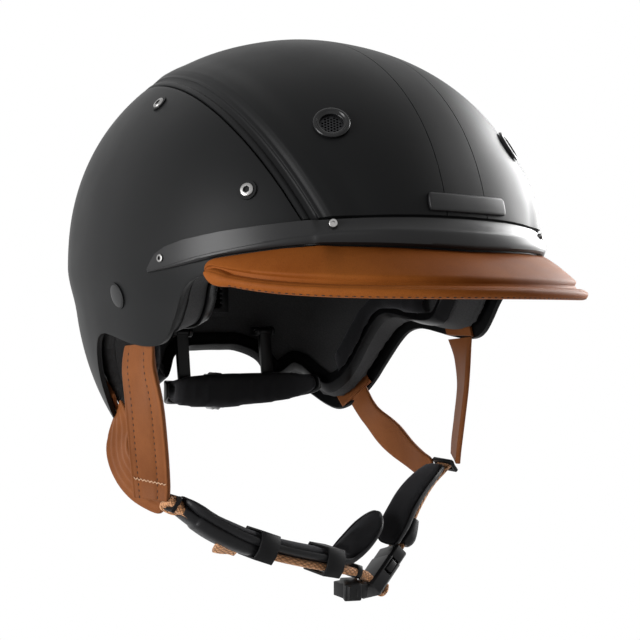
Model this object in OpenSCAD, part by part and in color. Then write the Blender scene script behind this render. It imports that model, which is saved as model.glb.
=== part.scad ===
// Riding style helmet with a leather peak, leather harness and dial-fit cradle.
// Millimetres. Origin: middle of the head space. +Z up, front of the helmet along -Y,
// the wearer's right along -X. Domes are superellipsoids leaning forward by lean degrees.

/* [Shell] */
// Half of the shell's greatest width
shell_half_w = 116; // [112:1:124]
// Shell from the origin to the brow
shell_front = 140; // [136:1:148]
// Shell from the origin to the back of the head
shell_back = 145; // [140:1:152]
// Shell above the origin
shell_top = 123; // [118:1:130]
// Vertical half axis of the lower half of the dome
shell_low = 145; // [140:1:155]
// Wall of the hard shells
shell_t = 2.6; // [2.2:0.1:3]
// How far the dome leans forward, degrees
lean = 7; // [4:0.5:9]
// How full the dome is seen from the side
side_exp = 2.12; // [2:0.02:2.3]
// How full the dome is seen from above
plan_exp = 2.28; // [2.1:0.02:2.4]
// How much the sides draw in below the widest line, percent
tuck = 3.5; // [2:0.25:5]

/* [Head space] */
// Half width of the head space, before pads
head_half_w = 84; // [80:1:88]
// Head space in front of the origin
head_front = 106; // [102:1:110]
// Head space behind the origin
head_back = 95; // [92:1:100]
// Head space above the origin
head_top = 92; // [88:1:95]
// Vertical half axis of the head space below the origin
head_low = 150; // [140:1:170]

/* [Panels] */
// Greatest half angle of the crown band between the side shells, degrees
crown_angle = 44.2; // [42:0.2:46]
// Half angle of the crown band at the back, degrees
crown_rear_angle = 17; // [14:0.5:20]
// Height of the crown's raised edge
ridge_h = 1.8; // [1:0.1:2.2]
// Depth of the channel beside the raised edge
channel_d = 0.9; // [0.5:0.1:1.1]
// Depth of the seat that takes the brow trim
seat_d = 1.3; // [1:0.1:1.4]

/* [Brow trim] */
// How far the lip stands out at the front
lip_front = 4.2; // [3:0.1:5.5]
// How far the trim stands out at the sides
lip_side = 2.6; // [2:0.1:3.4]

/* [Peak] */
// Half width of the peak's edge curve
peak_half_w = 105; // [100:1:110]
// Length of the peak's edge curve ahead of its middle
peak_reach = 104; // [100:1:112]
// Middle of the peak's edge curve, ahead of the origin
peak_mid = 70; // [66:1:74]
// Height of the peak's edge at the front
peak_front_z = -17.2; // [-20:0.2:-14]
// Thickness of the stiff board in the peak
board_t = 2; // [1.6:0.1:2.6]
// Thickness of the peak's leather
leather_t = 1.2; // [0.8:0.1:1.6]

/* [Fasteners] */
// Head diameter of the panel and trim screws
screw_head_d = 6.4; // [5:0.2:8]
// Shank diameter of the screws
screw_d = 3; // [2.5:0.1:3.5]
// Length of the screw shanks
screw_l = 8; // [6:0.5:10]
// Diameter of the side studs
stud_d = 12.5; // [10:0.5:14]
// Outer diameter of the front vent rings
vent_d = 17; // [14:0.5:19]

/* [Fit cradle] */
// Height of the cradle band
band_w = 14; // [10:1:16]
// Diameter of the fit dial
dial_d = 24; // [20:1:27]
// Diameter of the cradle's pivot pins
pivot_d = 2.4; // [2:0.1:3]

/* [Harness] */
// Width of the leather straps
strap_w = 25; // [20:1:27]
// Thickness of the leather straps
strap_t = 3; // [2.4:0.1:3.4]
// Width of the braided webbing
webbing_w = 11; // [9:0.5:12]
// Thickness of the braided webbing
webbing_t = 2.6; // [2:0.1:3]
// Half distance between the two strap junctions
junction_x = 95.5; // [92:0.5:98]
// Width of the buckle
buckle_w = 20; // [18:1:22]
// Thickness of the buckle
buckle_t = 9; // [8:0.5:10]

/* [Clearances] */
// Gap between neighbouring curved pieces
fit_gap = 0.5; // [0.4:0.05:0.6]
// Gap at seams and flat seats
seam_gap = 0.3; // [0.2:0.05:0.4]
// Radial gap of the running fits
run_gap = 0.08; // [0.04:0.01:0.1]

/* [Hidden] */
$fn = 32;

black = [0.07, 0.07, 0.075];
gloss_black = [0.03, 0.03, 0.035];
grey = [0.2, 0.2, 0.21];
tan_leather = [0.62, 0.4, 0.27];
peak_tan = [0.58, 0.33, 0.18];
braid = [0.68, 0.47, 0.33];
steel = [0.72, 0.72, 0.74];

// Angles round the crown, measured from the front up and over to the back
crown_start = 14;
crown_end = 207;
flange_start = 4;
side_end = 203;
// Curved neighbours made of flat facets keep this gap, and more where the facets are wide
facet_gap = fit_gap + 0.5;
wide_gap = facet_gap + 2.4;
liner_out = shell_t + wide_gap;
// How far below the widest line the sides have drawn in fully
tuck_depth = 26;

// Vector helpers
function unit(v) = v / norm(v);
function lean_down(v) =
    [v.x, v.y * cos(lean) + v.z * sin(lean), -v.y * sin(lean) + v.z * cos(lean)];
function lean_up(v) =
    [v.x, v.y * cos(lean) - v.z * sin(lean), v.y * sin(lean) + v.z * cos(lean)];
function flip_x(v) = [-v.x, v.y, v.z];

// Distance from the origin to a dome along d, where s holds its five half axes
function reach(d, s) =
    let (y_axis = d.y < 0 ? s[1] : s[2], z_axis = d.z > 0 ? s[3] : s[4],
        plan = pow(pow(abs(d.x) / s[0], plan_exp) + pow(abs(d.y) / y_axis, plan_exp), 1 / plan_exp))
    1 / pow(pow(plan, side_exp) + pow(abs(d.z) / z_axis, side_exp), 1 / side_exp);
// The sides draw in smoothly over tuck_depth below the widest line
function tucked(p) =
    let (u = min(max(-p.z / tuck_depth, 0), 1))
    [p.x * (1 - tuck / 100 * u * u * (3 - 2 * u)), p.y, p.z];
function on_shell(d, off) =
    tucked(d * reach(lean_down(d), [shell_half_w + off, shell_front + off, shell_back + off,
        shell_top + off, shell_low + off]));
function on_head(d, off) =
    tucked(d * reach(lean_down(d), [head_half_w + off, head_front + off, head_back + off,
        head_top + off, head_low + off]));

// Direction by heading from the front (towards the wearer's left) and height angle
function heading(a, e) = [sin(a) * cos(e), -cos(a) * cos(e), sin(e)];
// Direction by angle round the crown from the front and side angle from the middle plane
function band_dir(round, side) =
    lean_up([sin(side), -cos(side) * cos(round), cos(side) * sin(round)]);
// Direction of the right shell's point that has this place in the side view
function side_dir(y, z) =
    let (l = lean_down([0, y, z]), y_axis = l.y < 0 ? shell_front : shell_back,
        z_axis = l.z > 0 ? shell_top : shell_low,
        width = pow(1 - pow(abs(l.z) / z_axis, side_exp), plan_exp / side_exp)
            - pow(abs(l.y) / y_axis, plan_exp))
    unit([-shell_half_w * pow(max(width, 0.001), 1 / plan_exp), y, z]);
// Direction of the shell's outward normal, close enough for a screw
function outward(d) =
    let (e = 0.01, u = unit(cross(d, [0, 0, 1])), v = cross(u, d),
        p = on_shell(d, 0), pu = on_shell(unit(d + u * e), 0), pv = on_shell(unit(d + v * e), 0),
        n = unit(cross(pu - p, pv - p)))
    n * d < 0 ? -n : n;

// Half angle of the crown band at an angle round the crown
function seam_angle(round) =
    let (r = max(round, crown_start), fall = crown_angle - 7 * pow((r - 69) / 43, 2) - crown_rear_angle)
    crown_rear_angle + (fall + sqrt(fall * fall + 16)) / 2;

// Smooth curve through points or numbers, k steps between two of them
function smooth(p, k) = [
    for (i = [0:len(p) - 2], s = [0:k - 1])
        let (a = p[max(i - 1, 0)], b = p[i], c = p[i + 1], d = p[min(i + 2, len(p) - 1)], u = s / k)
            0.5 * (2 * b + (c - a) * u + (2 * a - 5 * b + 4 * c - d) * u * u
                + (3 * b - a - 3 * c + d) * u * u * u),
    p[len(p) - 1]];

// Closed skin through rings of points. An open run of rings is capped across each end ring,
// whose first half is its top row and second half its bottom row
module skin(rings, closed = false) {
    n = len(rings);
    m = len(rings[0]);
    sides = [for (i = [0:n - (closed ? 1 : 2)], j = [0:m - 1])
        let (a = i * m + j, b = i * m + (j + 1) % m, k = (i + 1) % n,
            c = k * m + (j + 1) % m, d = k * m + j)
            each [[a, c, b], [a, d, c]]];
    last = (n - 1) * m;
    caps = closed ? [] : [for (j = [0:m / 2 - 2]) let (k = m - 1 - j)
        each [[j + 1, k, j], [j + 1, k - 1, k],
            [last + j, last + k, last + j + 1], [last + j + 1, last + k, last + k - 1]]];
    points = [for (r = rings) each r];
    faces = concat(sides, caps);
    // Six times the signed volume, which is below zero when the faces look outwards
    volume = [for (f = faces) cross(points[f[0]], points[f[1]]) * points[f[2]]] * [for (f = faces) 1];
    polyhedron(points = points,
        faces = volume < 0 ? faces : [for (f = faces) [f[2], f[1], f[0]]], convexity = 8);
}
// Skin of a grid whose cells each hold an outer point and an inner point
module wall(grid, closed = false) {
    skin([for (row = grid) concat([for (c = row) c[0]], [for (i = [len(row) - 1:-1:0]) row[i][1]])],
        closed);
}

// Strap cross sections, one unit wide and high: padded leather, flat webbing
padded = [[-0.5, 0.12], [-0.43, 0.5], [-0.2, 0.36], [0.2, 0.36], [0.43, 0.5], [0.5, 0.12],
    [0.5, -0.12], [0.43, -0.5], [0.2, -0.42], [-0.2, -0.42], [-0.43, -0.5], [-0.5, -0.12]];
flat = [[-0.5, 0.2], [-0.4, 0.5], [0.4, 0.5], [0.5, 0.2],
    [0.5, -0.2], [0.4, -0.5], [-0.4, -0.5], [-0.5, -0.2]];
// A strap along a route. Each stop is [place, outward facing, width, thickness]
module ribbon(stops, section, k = 3) {
    p = smooth([for (s = stops) s[0]], k);
    f = smooth([for (s = stops) s[1]], k);
    w = smooth([for (s = stops) s[2]], k);
    h = smooth([for (s = stops) s[3]], k);
    n = len(p);
    skin([for (i = [0:n - 1])
        let (t = unit(p[min(i + 1, n - 1)] - p[max(i - 1, 0)]), s = unit(cross(t, f[i])),
            up = cross(s, t))
            [for (c = section) p[i] + s * c.x * w[i] + up * c.y * h[i]]]);
}
// Places children at p with their Z axis along n
module aim(p, n) {
    translate(p) rotate([0, acos(n.z / norm(n)), atan2(n.y, n.x)]) children();
}

// Lower edge of the shell in the side view, from behind the brow to the back of the head
ear_edge = [[-115.5, -6.5], [-100, -7.5], [-86, -8.5], [-74, -9.5], [-67, -12], [-60, -18],
    [-53, -29], [-47, -37], [-40, -41], [-29, -42], [-16, -41], [-4, -39], [8, -37], [17, -36.5],
    [25, -39], [31, -45], [36, -53], [40.5, -62], [44, -70.5], [49, -79.5], [56, -87], [64, -90],
    [75, -87], [88, -80.5], [100, -74], [112, -65], [122, -56.5], [128, -51]];
side_rim = [for (p = ear_edge) side_dir(p[0], p[1])];
brow_rim = [for (a = [5, 12, 19, 26]) band_dir(flange_start + 0.2, -a)];
back_rim = [for (a = [12, 5]) band_dir(crown_end, -a)];
// Directions of the whole right half of the rim, front to back
rim = concat(brow_rim, side_rim, back_rim);
rim_points = [for (d = rim) on_shell(d, 0)];
// Direction of the place s mm inside the shell's edge, square to the edge at rim point i
function inset(i, s) =
    let (n = len(rim) - 1,
        along = i == 0 ? [-1, 0, 0] : i == n ? [1, 0, 0] : unit(rim_points[i + 1] - rim_points[i - 1]))
    unit(rim_points[i] + s * unit(cross(along, unit(rim_points[i]))));

// Places of the fasteners, in the side view of the right shell
panel_screw_at = [[-13.4, 78.5], [-93, 28]];
trim_screw_at = [[-53.6, -0.8], [-124.1, 12.4]];
stud_at = [-9, -17.5];
vent_at = [-109.4, 58.3];
// Where the middle of the rear strap leaves the shell, and the way it goes, in the side view
rear_out = [54, -81];
rear_way = [-0.77, -0.64];

module screw_shafts(places, d, l) {
    for (p = places, m = [0, 1]) mirror([m, 0, 0])
        let (dir = side_dir(p[0], p[1]))
            aim(on_shell(dir, 0), outward(dir)) translate([0, 0, -l]) cylinder(d = d, h = l + 6);
}

// Hard shells

// Columns across half of the crown: [degrees inboard of the seam, outer offset]
crown_edge = [[0.15, -channel_d], [0.7, -channel_d], [0.95, -channel_d + 0.7],
    [1.2, -channel_d], [1.7, -channel_d], [2.1, ridge_h - 0.3], [3, ridge_h], [5.5, ridge_h * 0.4],
    [9, 0]];
crown_cols = 7;
function crown_row(round, seat) =
    let (edge = seam_angle(round) - max(0, crown_start - round) * 0.4,
        half = concat([for (c = crown_edge) [c[0] - edge, c[1]]],
            [for (i = [1:crown_cols]) [(9 - edge) * (1 - i / (crown_cols + 0.5)), 0]]),
        full = concat(half, [for (i = [len(half) - 1:-1:0]) [-half[i][0], half[i][1]]]))
    [for (c = full) let (d = band_dir(round, c[0]))
        [on_shell(d, seat ? -seat_d : c[1]), on_shell(d, -shell_t)]];
module crown_shell() {
    rounds = concat([crown_start], [for (i = [1:26]) crown_start + (crown_end - crown_start) * i / 26]);
    color(black) difference() {
        wall(concat([for (r = [flange_start, 7.5, 11, crown_start - 0.3]) crown_row(r, true)],
            [for (r = rounds) crown_row(r, false)]));
        screw_shafts([trim_screw_at[1]], screw_d + 2 * seam_gap, 12);
        screw_shafts([vent_at], vent_d - 3, 12);
    }
}
function side_column(i, rows) =
    let (n = len(ear_edge) - 1, y0 = ear_edge[0][0], y1 = ear_edge[n][0],
        f = (ear_edge[i][0] - y0) / (y1 - y0),
        round = crown_start + 0.1 + (side_end - crown_start) * acos(1 - 2 * f) / 180,
        top = band_dir(round, -seam_angle(round) - 0.15), low = side_rim[i])
    [for (j = [0:rows]) let (d = unit(top + (low - top) * j / rows))
        [on_shell(d, 0), on_shell(d, -shell_t)]];
module side_shell() {
    color(black) difference() {
        wall([for (i = [0:len(ear_edge) - 1]) side_column(i, 12)]);
        screw_shafts(concat(panel_screw_at, [trim_screw_at[0], stud_at]),
            screw_d + 2 * seam_gap, 12);
    }
}
module side_shell_right() side_shell();
module side_shell_left() mirror([1, 0, 0]) side_shell();

// Foam liner and the plastic rim under it

liner_lift = 4;
liner_cols = 20;
function liner_station(i) =
    let (n = len(rim) - 1, y0 = rim[0].y, f = (rim[i].y - y0) / (rim[n].y - y0),
        mid = band_dir(flange_start + 2 + (crown_end - flange_start - 4) * acos(1 - 2 * f) / 180, 0),
        side = inset(i, liner_lift), across = [side.x, 0, 0], along = side - across)
    [for (j = [0:liner_cols]) let (v = 90 * (1 - 2 * j / liner_cols),
        d = unit(mid * 1.05 * cos(v) + along * (1 - cos(v)) + across * sin(v)))
        [on_shell(d, -liner_out), on_head(d, 0)]];
// Place in the side view, t along the rear strap from its way out of the shell and s across it
function rear_at(t, s) = rear_out + t * rear_way + s * [-rear_way.y, rear_way.x];
// Room for a strap between shell and liner, front and rear
module strap_pockets() {
    for (m = [0, 1]) mirror([m, 0, 0]) {
        wall([for (y = [-46, -32, -18, -4, 9]) [for (z = [-8, -20, -32, -60])
            let (d = side_dir(y, z)) [on_shell(d, 4), on_shell(d, -shell_t - strap_t - 1)]]]);
        wall([for (s = [-14, -5, 5, 14]) [for (t = [-30, -18, -6, 6, 16])
            let (at = rear_at(t, s), d = side_dir(at.x, at.y))
                [on_shell(d, 4), on_shell(d, -shell_t - strap_t - 1)]]]);
    }
}
module foam_liner() {
    color(grey) difference() {
        wall([for (i = [0:len(rim) - 1]) liner_station(i)]);
        strap_pockets();
        screw_shafts(concat(panel_screw_at, trim_screw_at, [stud_at]), screw_d + 2 * seam_gap, 12);
        screw_shafts([vent_at], 11, 60);
    }
}
rim_wall = 1.5;
rim_up = 6;
function rim_ring(i) =
    let (a = inset(i, liner_lift - 0.4), b = inset(i, liner_lift - 0.4 - rim_wall),
        up = inset(i, liner_lift + rim_up))
    [on_shell(a, -liner_out - strap_t - 2), on_head(a, -facet_gap), on_head(up, -facet_gap),
        on_head(up, -facet_gap - rim_wall), on_head(b, -facet_gap - rim_wall),
        on_shell(b, -liner_out - strap_t - 2)];
module liner_rim() {
    half = [for (i = [0:len(rim) - 1]) rim_ring(i)];
    color(gloss_black) skin(concat(half,
        [for (i = [len(rim) - 1:-1:0]) [for (p = half[i]) flip_x(p)]]), true);
}

// Brow trim that holds the peak

trim_top = [[33, 5.75], [41, 5.1], [49, 4.38], [58, 3.2], [63, 2], [66, 0.6], [69, -2.6]];
trim_crease = [[0, 4.3], [17, 4.1], [27, 3.7], [36.5, 2.5], [43, 1.55], [54, -0.2], [62, -1.9],
    [69, -3.1]];
trim_low = [[0, 1], [20, 1.4], [30, 1.5], [37, 1], [49, -0.4], [55, -1.5], [62, -2.6], [69, -3.4]];
function trim_cells(top, a, inner, lip, skim) =
    let (crease = heading(a, lookup(abs(a), trim_crease)), low = heading(a, lookup(abs(a), trim_low)))
    [for (c = [[top, crease, 0, skim], [top, crease, 0.5, skim + (lip - skim) * 0.3],
            [top, crease, 0.88, lip - 0.7], [crease, low, 0, lip], [crease, low, 0.45, lip - 0.1],
            [crease, low, 0.85, lip - 0.7], [crease, low, 1, lip - 1.8]])
        let (d = unit(c[0] + (c[1] - c[0]) * c[2])) [on_shell(d, c[3]), on_shell(d, inner)]];
module brow_trim() {
    front = [for (l = [-31.5, -26, -19, -13, -6.5, 0, 6.5, 13, 19, 26, 31.5])
        let (top = band_dir(crown_start - 0.3, l), a = atan2(top.x, -top.y))
            trim_cells(top, a, -seat_d + fit_gap, lip_front - abs(a) / 33, 0)];
    side = [for (a = [33, 36, 41, 47, 53, 58, 62, 65, 67.5, 69])
        trim_cells(heading(a, lookup(a, trim_top)), a, seam_gap,
            lip_side - (a - 33) * 0.02, 1.5)];
    right = [for (i = [len(side) - 1:-1:0]) [for (c = side[i]) [flip_x(c[0]), flip_x(c[1])]]];
    color(gloss_black) difference() {
        wall(concat(right, front, side));
        screw_shafts(trim_screw_at, screw_d + 2 * seam_gap, 12);
    }
}

// Peak: a board between a leather top, which wraps the edge, and a leather lining

peak_end = 84;
board_end = 78;
peak_crown = 1.5;
peak_half_t = board_t / 2 + fit_gap + 0.1;
function edge_point(turn) =
    [peak_half_w * sin(turn), -peak_mid - peak_reach * cos(turn),
        peak_front_z + 12 * pow(1 - cos(turn), 2.6)];
function edge_out(turn) = unit([sin(turn) / peak_half_w, -cos(turn) / peak_reach, 0]);
function peak_root(turn) =
    let (e = edge_point(turn), a = atan2(e.x, -e.y), low = lookup(abs(a), trim_low),
        p = on_shell(heading(a, low), abs(a) < 27 ? seam_gap - seat_d : fit_gap + 2 * seam_gap))
    [p.x, p.y, p.z - leather_t - board_t / 2 - 1];
// Point across the peak: s from root to edge, h above the board's middle, o beyond the edge
function peak_at(turn, s, h, o = 0) =
    let (r = peak_root(turn), e = edge_point(turn))
    r + (e - r) * s + [0, 0, h + 4 * peak_crown * s * (1 - s)] + edge_out(turn) * o;
function turns(end, n) = [for (i = [-n:n]) end * (1 - pow(1 - abs(i) / n, 1.35)) * (i < 0 ? -1 : 1)];
module peak_board() {
    color(grey) wall([for (t = turns(board_end, 11))
        [for (s = [0, 0.35, 0.7, 1]) let (o = s == 1 ? -0.35 : 0)
            [peak_at(t, s, board_t / 2, o), peak_at(t, s, -board_t / 2, o)]]]);
}
module peak_leather() {
    top = peak_half_t + leather_t;
    color(peak_tan) wall([for (t = turns(peak_end, 13)) [
        [peak_at(t, 0, top), peak_at(t, 0, peak_half_t)],
        [peak_at(t, 0.33, top), peak_at(t, 0.33, peak_half_t)],
        [peak_at(t, 0.66, top), peak_at(t, 0.66, peak_half_t)],
        [peak_at(t, 0.96, top), peak_at(t, 0.92, peak_half_t)],
        [peak_at(t, 1, top * 0.6, 1.5), peak_at(t, 1, peak_half_t)],
        [peak_at(t, 1, -top * 0.2, 2), peak_at(t, 1, -peak_half_t)],
        [peak_at(t, 1, -top, 1.2), peak_at(t, 1, -top, -0.7)]]]);
}
module peak_lining() {
    color(peak_tan * 0.8) wall([for (t = turns(board_end, 11))
        [for (s = [0, 0.35, 0.7, 1]) let (o = s == 1 ? -1.1 : 0)
            [peak_at(t, s, -peak_half_t, o), peak_at(t, s, -peak_half_t - leather_t * 0.8, o)]]]);
}

// Badge plate, bare, on the brow

plate_half = 10.2;
plate_mid = 9.7;
plate_high = 1.6;
plate_t = 2.1;
module badge_plate() {
    bar = [-1, -0.97, -0.92, -0.84, -0.6, -0.3, 0, 0.3, 0.6, 0.84, 0.92, 0.97, 1];
    color(gloss_black) wall([for (a = bar)
        let (h = plate_high * sqrt(max(0.12, 1 - pow(max(0, abs(a) - 0.84) / 0.17, 2))))
            [for (c = [[-1, 0.25], [-0.82, 1], [0.82, 1], [1, 0.25]])
                let (d = heading(a * plate_half, plate_mid + c[0] * h))
                    [on_shell(d, seam_gap + plate_t * c[1]), on_shell(d, seam_gap)]]]);
}

// Fasteners and vents

module on_both_sides(at, off) {
    for (m = [0, 1]) mirror([m, 0, 0]) let (d = side_dir(at[0], at[1]), n = outward(d))
        aim(on_shell(d, 0) + n * off, n) children();
}
module screw() {
    difference() {
        union() {
            rotate_extrude() polygon([[0, 0], [screw_head_d / 2, 0], [screw_head_d / 2, 0.7],
                [screw_head_d / 2 - 0.7, 1.5], [0, 1.5]]);
            translate([0, 0, -screw_l]) cylinder(d = screw_d, h = screw_l + 0.1);
        }
        translate([0, 0, 0.5]) cylinder(d = screw_head_d * 0.5, h = 2, $fn = 6);
    }
}
module panel_screws() {
    color(steel) for (at = panel_screw_at) on_both_sides(at, seam_gap) screw();
}
module trim_screws() {
    color(steel) {
        on_both_sides(trim_screw_at[0], 2.7) screw();
        on_both_sides(trim_screw_at[1], 3.1) screw();
    }
}
module side_studs() {
    color(black) on_both_sides(stud_at, seam_gap + 0.1) {
        rotate_extrude() polygon(concat([[0, 0], [stud_d / 2, 0]],
            [for (a = [20:14:90]) [stud_d / 2 * cos(a), 0.4 + 2 * sin(a)]]));
        translate([0, 0, -screw_l]) cylinder(d = screw_d, h = screw_l + 0.1);
    }
}
module vent_rings() {
    color(gloss_black) on_both_sides(vent_at, 0.4) rotate_extrude(convexity = 4)
        polygon([[vent_d / 2 - 3.2, -3.2], [vent_d / 2 - 1.8, -3.2], [vent_d / 2 - 1.8, 0],
            [vent_d / 2, 0], [vent_d / 2 - 0.3, 0.9], [vent_d / 2 - 1.4, 1.3],
            [vent_d / 2 - 3.2, 0.5]]);
}
module vent_meshes() {
    r = vent_d / 2 - 3.2 - run_gap;
    color(grey) on_both_sides(vent_at, -1.6) difference() {
        cylinder(r = r, h = 0.8);
        for (i = [-3:3], j = [-3:3]) let (x = (i + (j % 2) / 2) * 1.55, y = j * 1.35)
            if (norm([x, y]) < r - 0.9) translate([x, y, -1]) cylinder(d = 1.1, h = 3, $fn = 14);
    }
}

// Comfort pads

pad_off = -facet_gap - rim_wall - 0.4;
module brow_pad() {
    color(black) wall([for (a = [-56, -52, -42, -32, -21, -10, 0, 10, 21, 32, 42, 52, 56])
        let (thin = abs(a) > 54 ? 0.3 : 1)
            [for (c = [[3.2, 0.3], [5, 1], [9, 1.15], [12.5, 1], [14.2, 0.3]])
                let (d = heading(a, c[0]))
                    [on_head(d, -facet_gap), on_head(d, -facet_gap - 5.3 * c[1] * thin)]]]);
}
module crown_pad() {
    color(black) wall([for (r = [62, 65, 76, 88, 100, 112, 115])
        [for (l = [-34, -31, -18, -6, 6, 18, 31, 34])
            let (d = band_dir(r, l), rim_zone = r < 64 || r > 113 || abs(l) > 32)
                [on_head(d, -facet_gap), on_head(d, rim_zone ? -2.6 : -7)]]]);
}
side_pad_first = len(brow_rim) + 8;
side_pad_last = len(brow_rim) + 20;
module side_pad() {
    n = side_pad_last - side_pad_first;
    color(black) wall([for (k = [0:n]) let (i = side_pad_first + k, thin = k == 0 || k == n ? 0.35 : 1)
        [for (c = [[3, 0.35], [5, 1], [11.5, 1.15], [18, 1], [21, 0.35]])
            let (d = inset(i, c[0]))
                [on_head(d, pad_off), on_head(d, pad_off - 5.5 * c[1] * thin)]]]);
}
module side_pad_right() side_pad();
module side_pad_left() mirror([1, 0, 0]) side_pad();

// Fit cradle: guide on the back of the liner, brackets, pins, struts, band, pad and dial

guide_y = head_back + 0.2;
module height_guide() {
    color(gloss_black) translate([0, guide_y, -16.5]) rotate([90, 0, 0])
        linear_extrude(5.5) difference() {
            square([20, 19], center = true);
            square([7, 13], center = true);
            for (s = [-1, 1], z = [-4.5:3:4.5]) translate([s * 4, z]) square([2, 1.2], center = true);
        }
}
pivot_at = [30, 79, -38];
barrel_d = pivot_d + 2.6;
ear_t = 2.4;
strut_w = 8;
// How far the brackets reach back from the pivots to the liner's rim
bracket_back = 6.1;
module on_both_pivots() {
    for (s = [-1, 1]) translate([s * pivot_at.x, pivot_at.y, pivot_at.z]) rotate([0, 90, 0]) children();
}
module cradle_brackets() {
    ear_mid = strut_w / 2 + seam_gap + ear_t / 2;
    color(gloss_black) on_both_pivots() difference() {
        for (s = [-1, 1]) translate([0, 0, s * ear_mid]) union() {
            cylinder(d = barrel_d + 1, h = ear_t, center = true);
            translate([0, bracket_back / 2, 0]) cube([barrel_d + 1, bracket_back, ear_t], center = true);
        }
        cylinder(d = pivot_d + 2 * run_gap, h = 40, center = true);
    }
}
module cradle_pins() {
    color(steel) on_both_pivots()
        cylinder(d = pivot_d, h = strut_w + 2 * (seam_gap + ear_t) + 0.6, center = true);
}
band_top = -68;
module cradle_struts() {
    foot = band_top + seam_gap - pivot_at.z;
    color(gloss_black) for (s = [-1, 1])
        translate([s * pivot_at.x - strut_w / 2, pivot_at.y, pivot_at.z]) rotate([90, 0, 90])
            linear_extrude(strut_w) difference() {
                union() {
                    circle(d = barrel_d);
                    polygon([[1.8, -1], [-1.8, -1], [-4, -20], [-5.4, foot], [-2.8, foot], [-1.4, -20]]);
                }
                circle(d = pivot_d + 2 * run_gap);
            }
}
band_mid = band_top - band_w / 2;
band_path = [[-54, 50], [-52, 57], [-46, 65.5], [-36, 72], [-19, 76.5], [0, 78], [19, 76.5], [36, 72],
    [46, 65.5], [52, 57], [54, 50]];
// A band round the nape, off mm behind the path
module nape_band(off, w, t, section, ends) {
    n = len(band_path) - 1;
    ribbon([for (i = [0:n]) let (a = band_path[max(i - 1, 0)], b = band_path[min(i + 1, n)],
        d = unit([a.y - b.y, b.x - a.x, 0]), q = i == 0 || i == n ? ends : 1)
            [[band_path[i].x, band_path[i].y, band_mid] + d * off, d, w * q, t * q]], section, 2);
}
module cradle_band() {
    color(gloss_black) nape_band(0, band_w, 2.2, flat, 0.8);
}
module cradle_pad() {
    color(black) nape_band(-4.2, band_w + 4, 5.4, padded, 0.6);
}
dial_z = band_mid - 1;
housing_y = 80;
housing_t = 7;
module dial_housing() {
    color(grey) translate([0, housing_y, dial_z]) rotate([-90, 0, 0]) difference() {
        linear_extrude(housing_t) difference() {
            square([34, 25], center = true);
            for (m = [0, 1], n = [0, 1]) mirror([m, 0]) mirror([0, n]) translate([17, 12.5])
                rotate(45) square(6, center = true);
        }
        translate([0, 0, -1]) cylinder(d = 11, h = 5.5);
        cylinder(d = 5 + 2 * run_gap, h = 30);
    }
}
module dial_knob() {
    lobes = 18;
    color([0.45, 0.45, 0.46]) translate([0, housing_y, dial_z]) rotate([-90, 0, 0]) {
        translate([0, 0, housing_t + seam_gap]) linear_extrude(8)
            polygon([for (a = [0:5:355]) (dial_d / 2 - 0.5 + 0.5 * sin(lobes * a)) * [cos(a), sin(a)]]);
        translate([0, 0, 0.8]) cylinder(d = 5, h = housing_t);
    }
}
module dial_gear() {
    teeth = 10;
    color(steel) translate([0, housing_y + 1, dial_z]) rotate([-90, 0, 0]) linear_extrude(3)
        difference() {
            polygon([for (i = [0:teeth * 4 - 1]) let (a = i * 90 / teeth, r = i % 4 < 2 ? 5.1 : 3.9)
                r * [cos(a), sin(a)]]);
            circle(d = 5 + 2 * run_gap);
        }
}

// Harness

root_t = 2.1;
root_out = -shell_t - 0.7;
// Tab between shell and liner. Each middle is [y, z, width along y, width along z]
module root_tab(mids) {
    wall([for (v = [-0.5, -0.25, 0, 0.25, 0.5]) [for (m = mids)
        let (d = side_dir(m[0] + v * m[2], m[1] + v * m[3]))
            [on_shell(d, root_out), on_shell(d, root_out - root_t)]]]);
}
rear_w = strap_w - 3;
// The front strap's root runs down from the side stud to its way out at y = out
module front_root(out) {
    root_tab([for (s = [0, 0.25, 0.6, 1]) [stud_at.x - 1 + (out - stud_at.x + 1) * s,
        -9 + (front_out_z + 1.6 + 9) * s, strap_w, 0]]);
}
module strap_roots() {
    color(tan_leather) difference() {
        union() {
            front_root(right_out_y);
            mirror([1, 0, 0]) front_root(left_out_y);
            for (m = [0, 1]) mirror([m, 0, 0]) root_tab([for (t = [-26, -12, 1.6])
                let (at = rear_at(t, 0)) [at.x, at.y, -rear_way.y * rear_w, rear_way.x * rear_w]]);
        }
        screw_shafts([stud_at], screw_d + 2 * seam_gap, 12);
    }
}
strap_mid = root_out - root_t / 2;
front_out_z = -43;
right_out_y = -16;
left_out_y = -27;
module front_strap_right() {
    color(tan_leather) ribbon([
        [on_shell(side_dir(right_out_y, front_out_z), strap_mid), [-1, -0.12, -0.1], strap_w, strap_t * 0.6],
        [[-104.4, -16.6, -54], [-1, -0.28, -0.1], strap_w, strap_t],
        [[-103.4, -20, -72], [-1, -0.45, -0.13], strap_w, strap_t],
        [[-99.8, -18.4, -94], [-1, -0.5, -0.15], strap_w, strap_t],
        [[-junction_x - 1.2, -15.4, -110], [-1, -0.5, -0.1], strap_w - 1, strap_t],
        [[-junction_x - 0.6, -14.6, -119], [-1, -0.5, -0.05], strap_w - 4, strap_t]], padded, 3);
}
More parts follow.
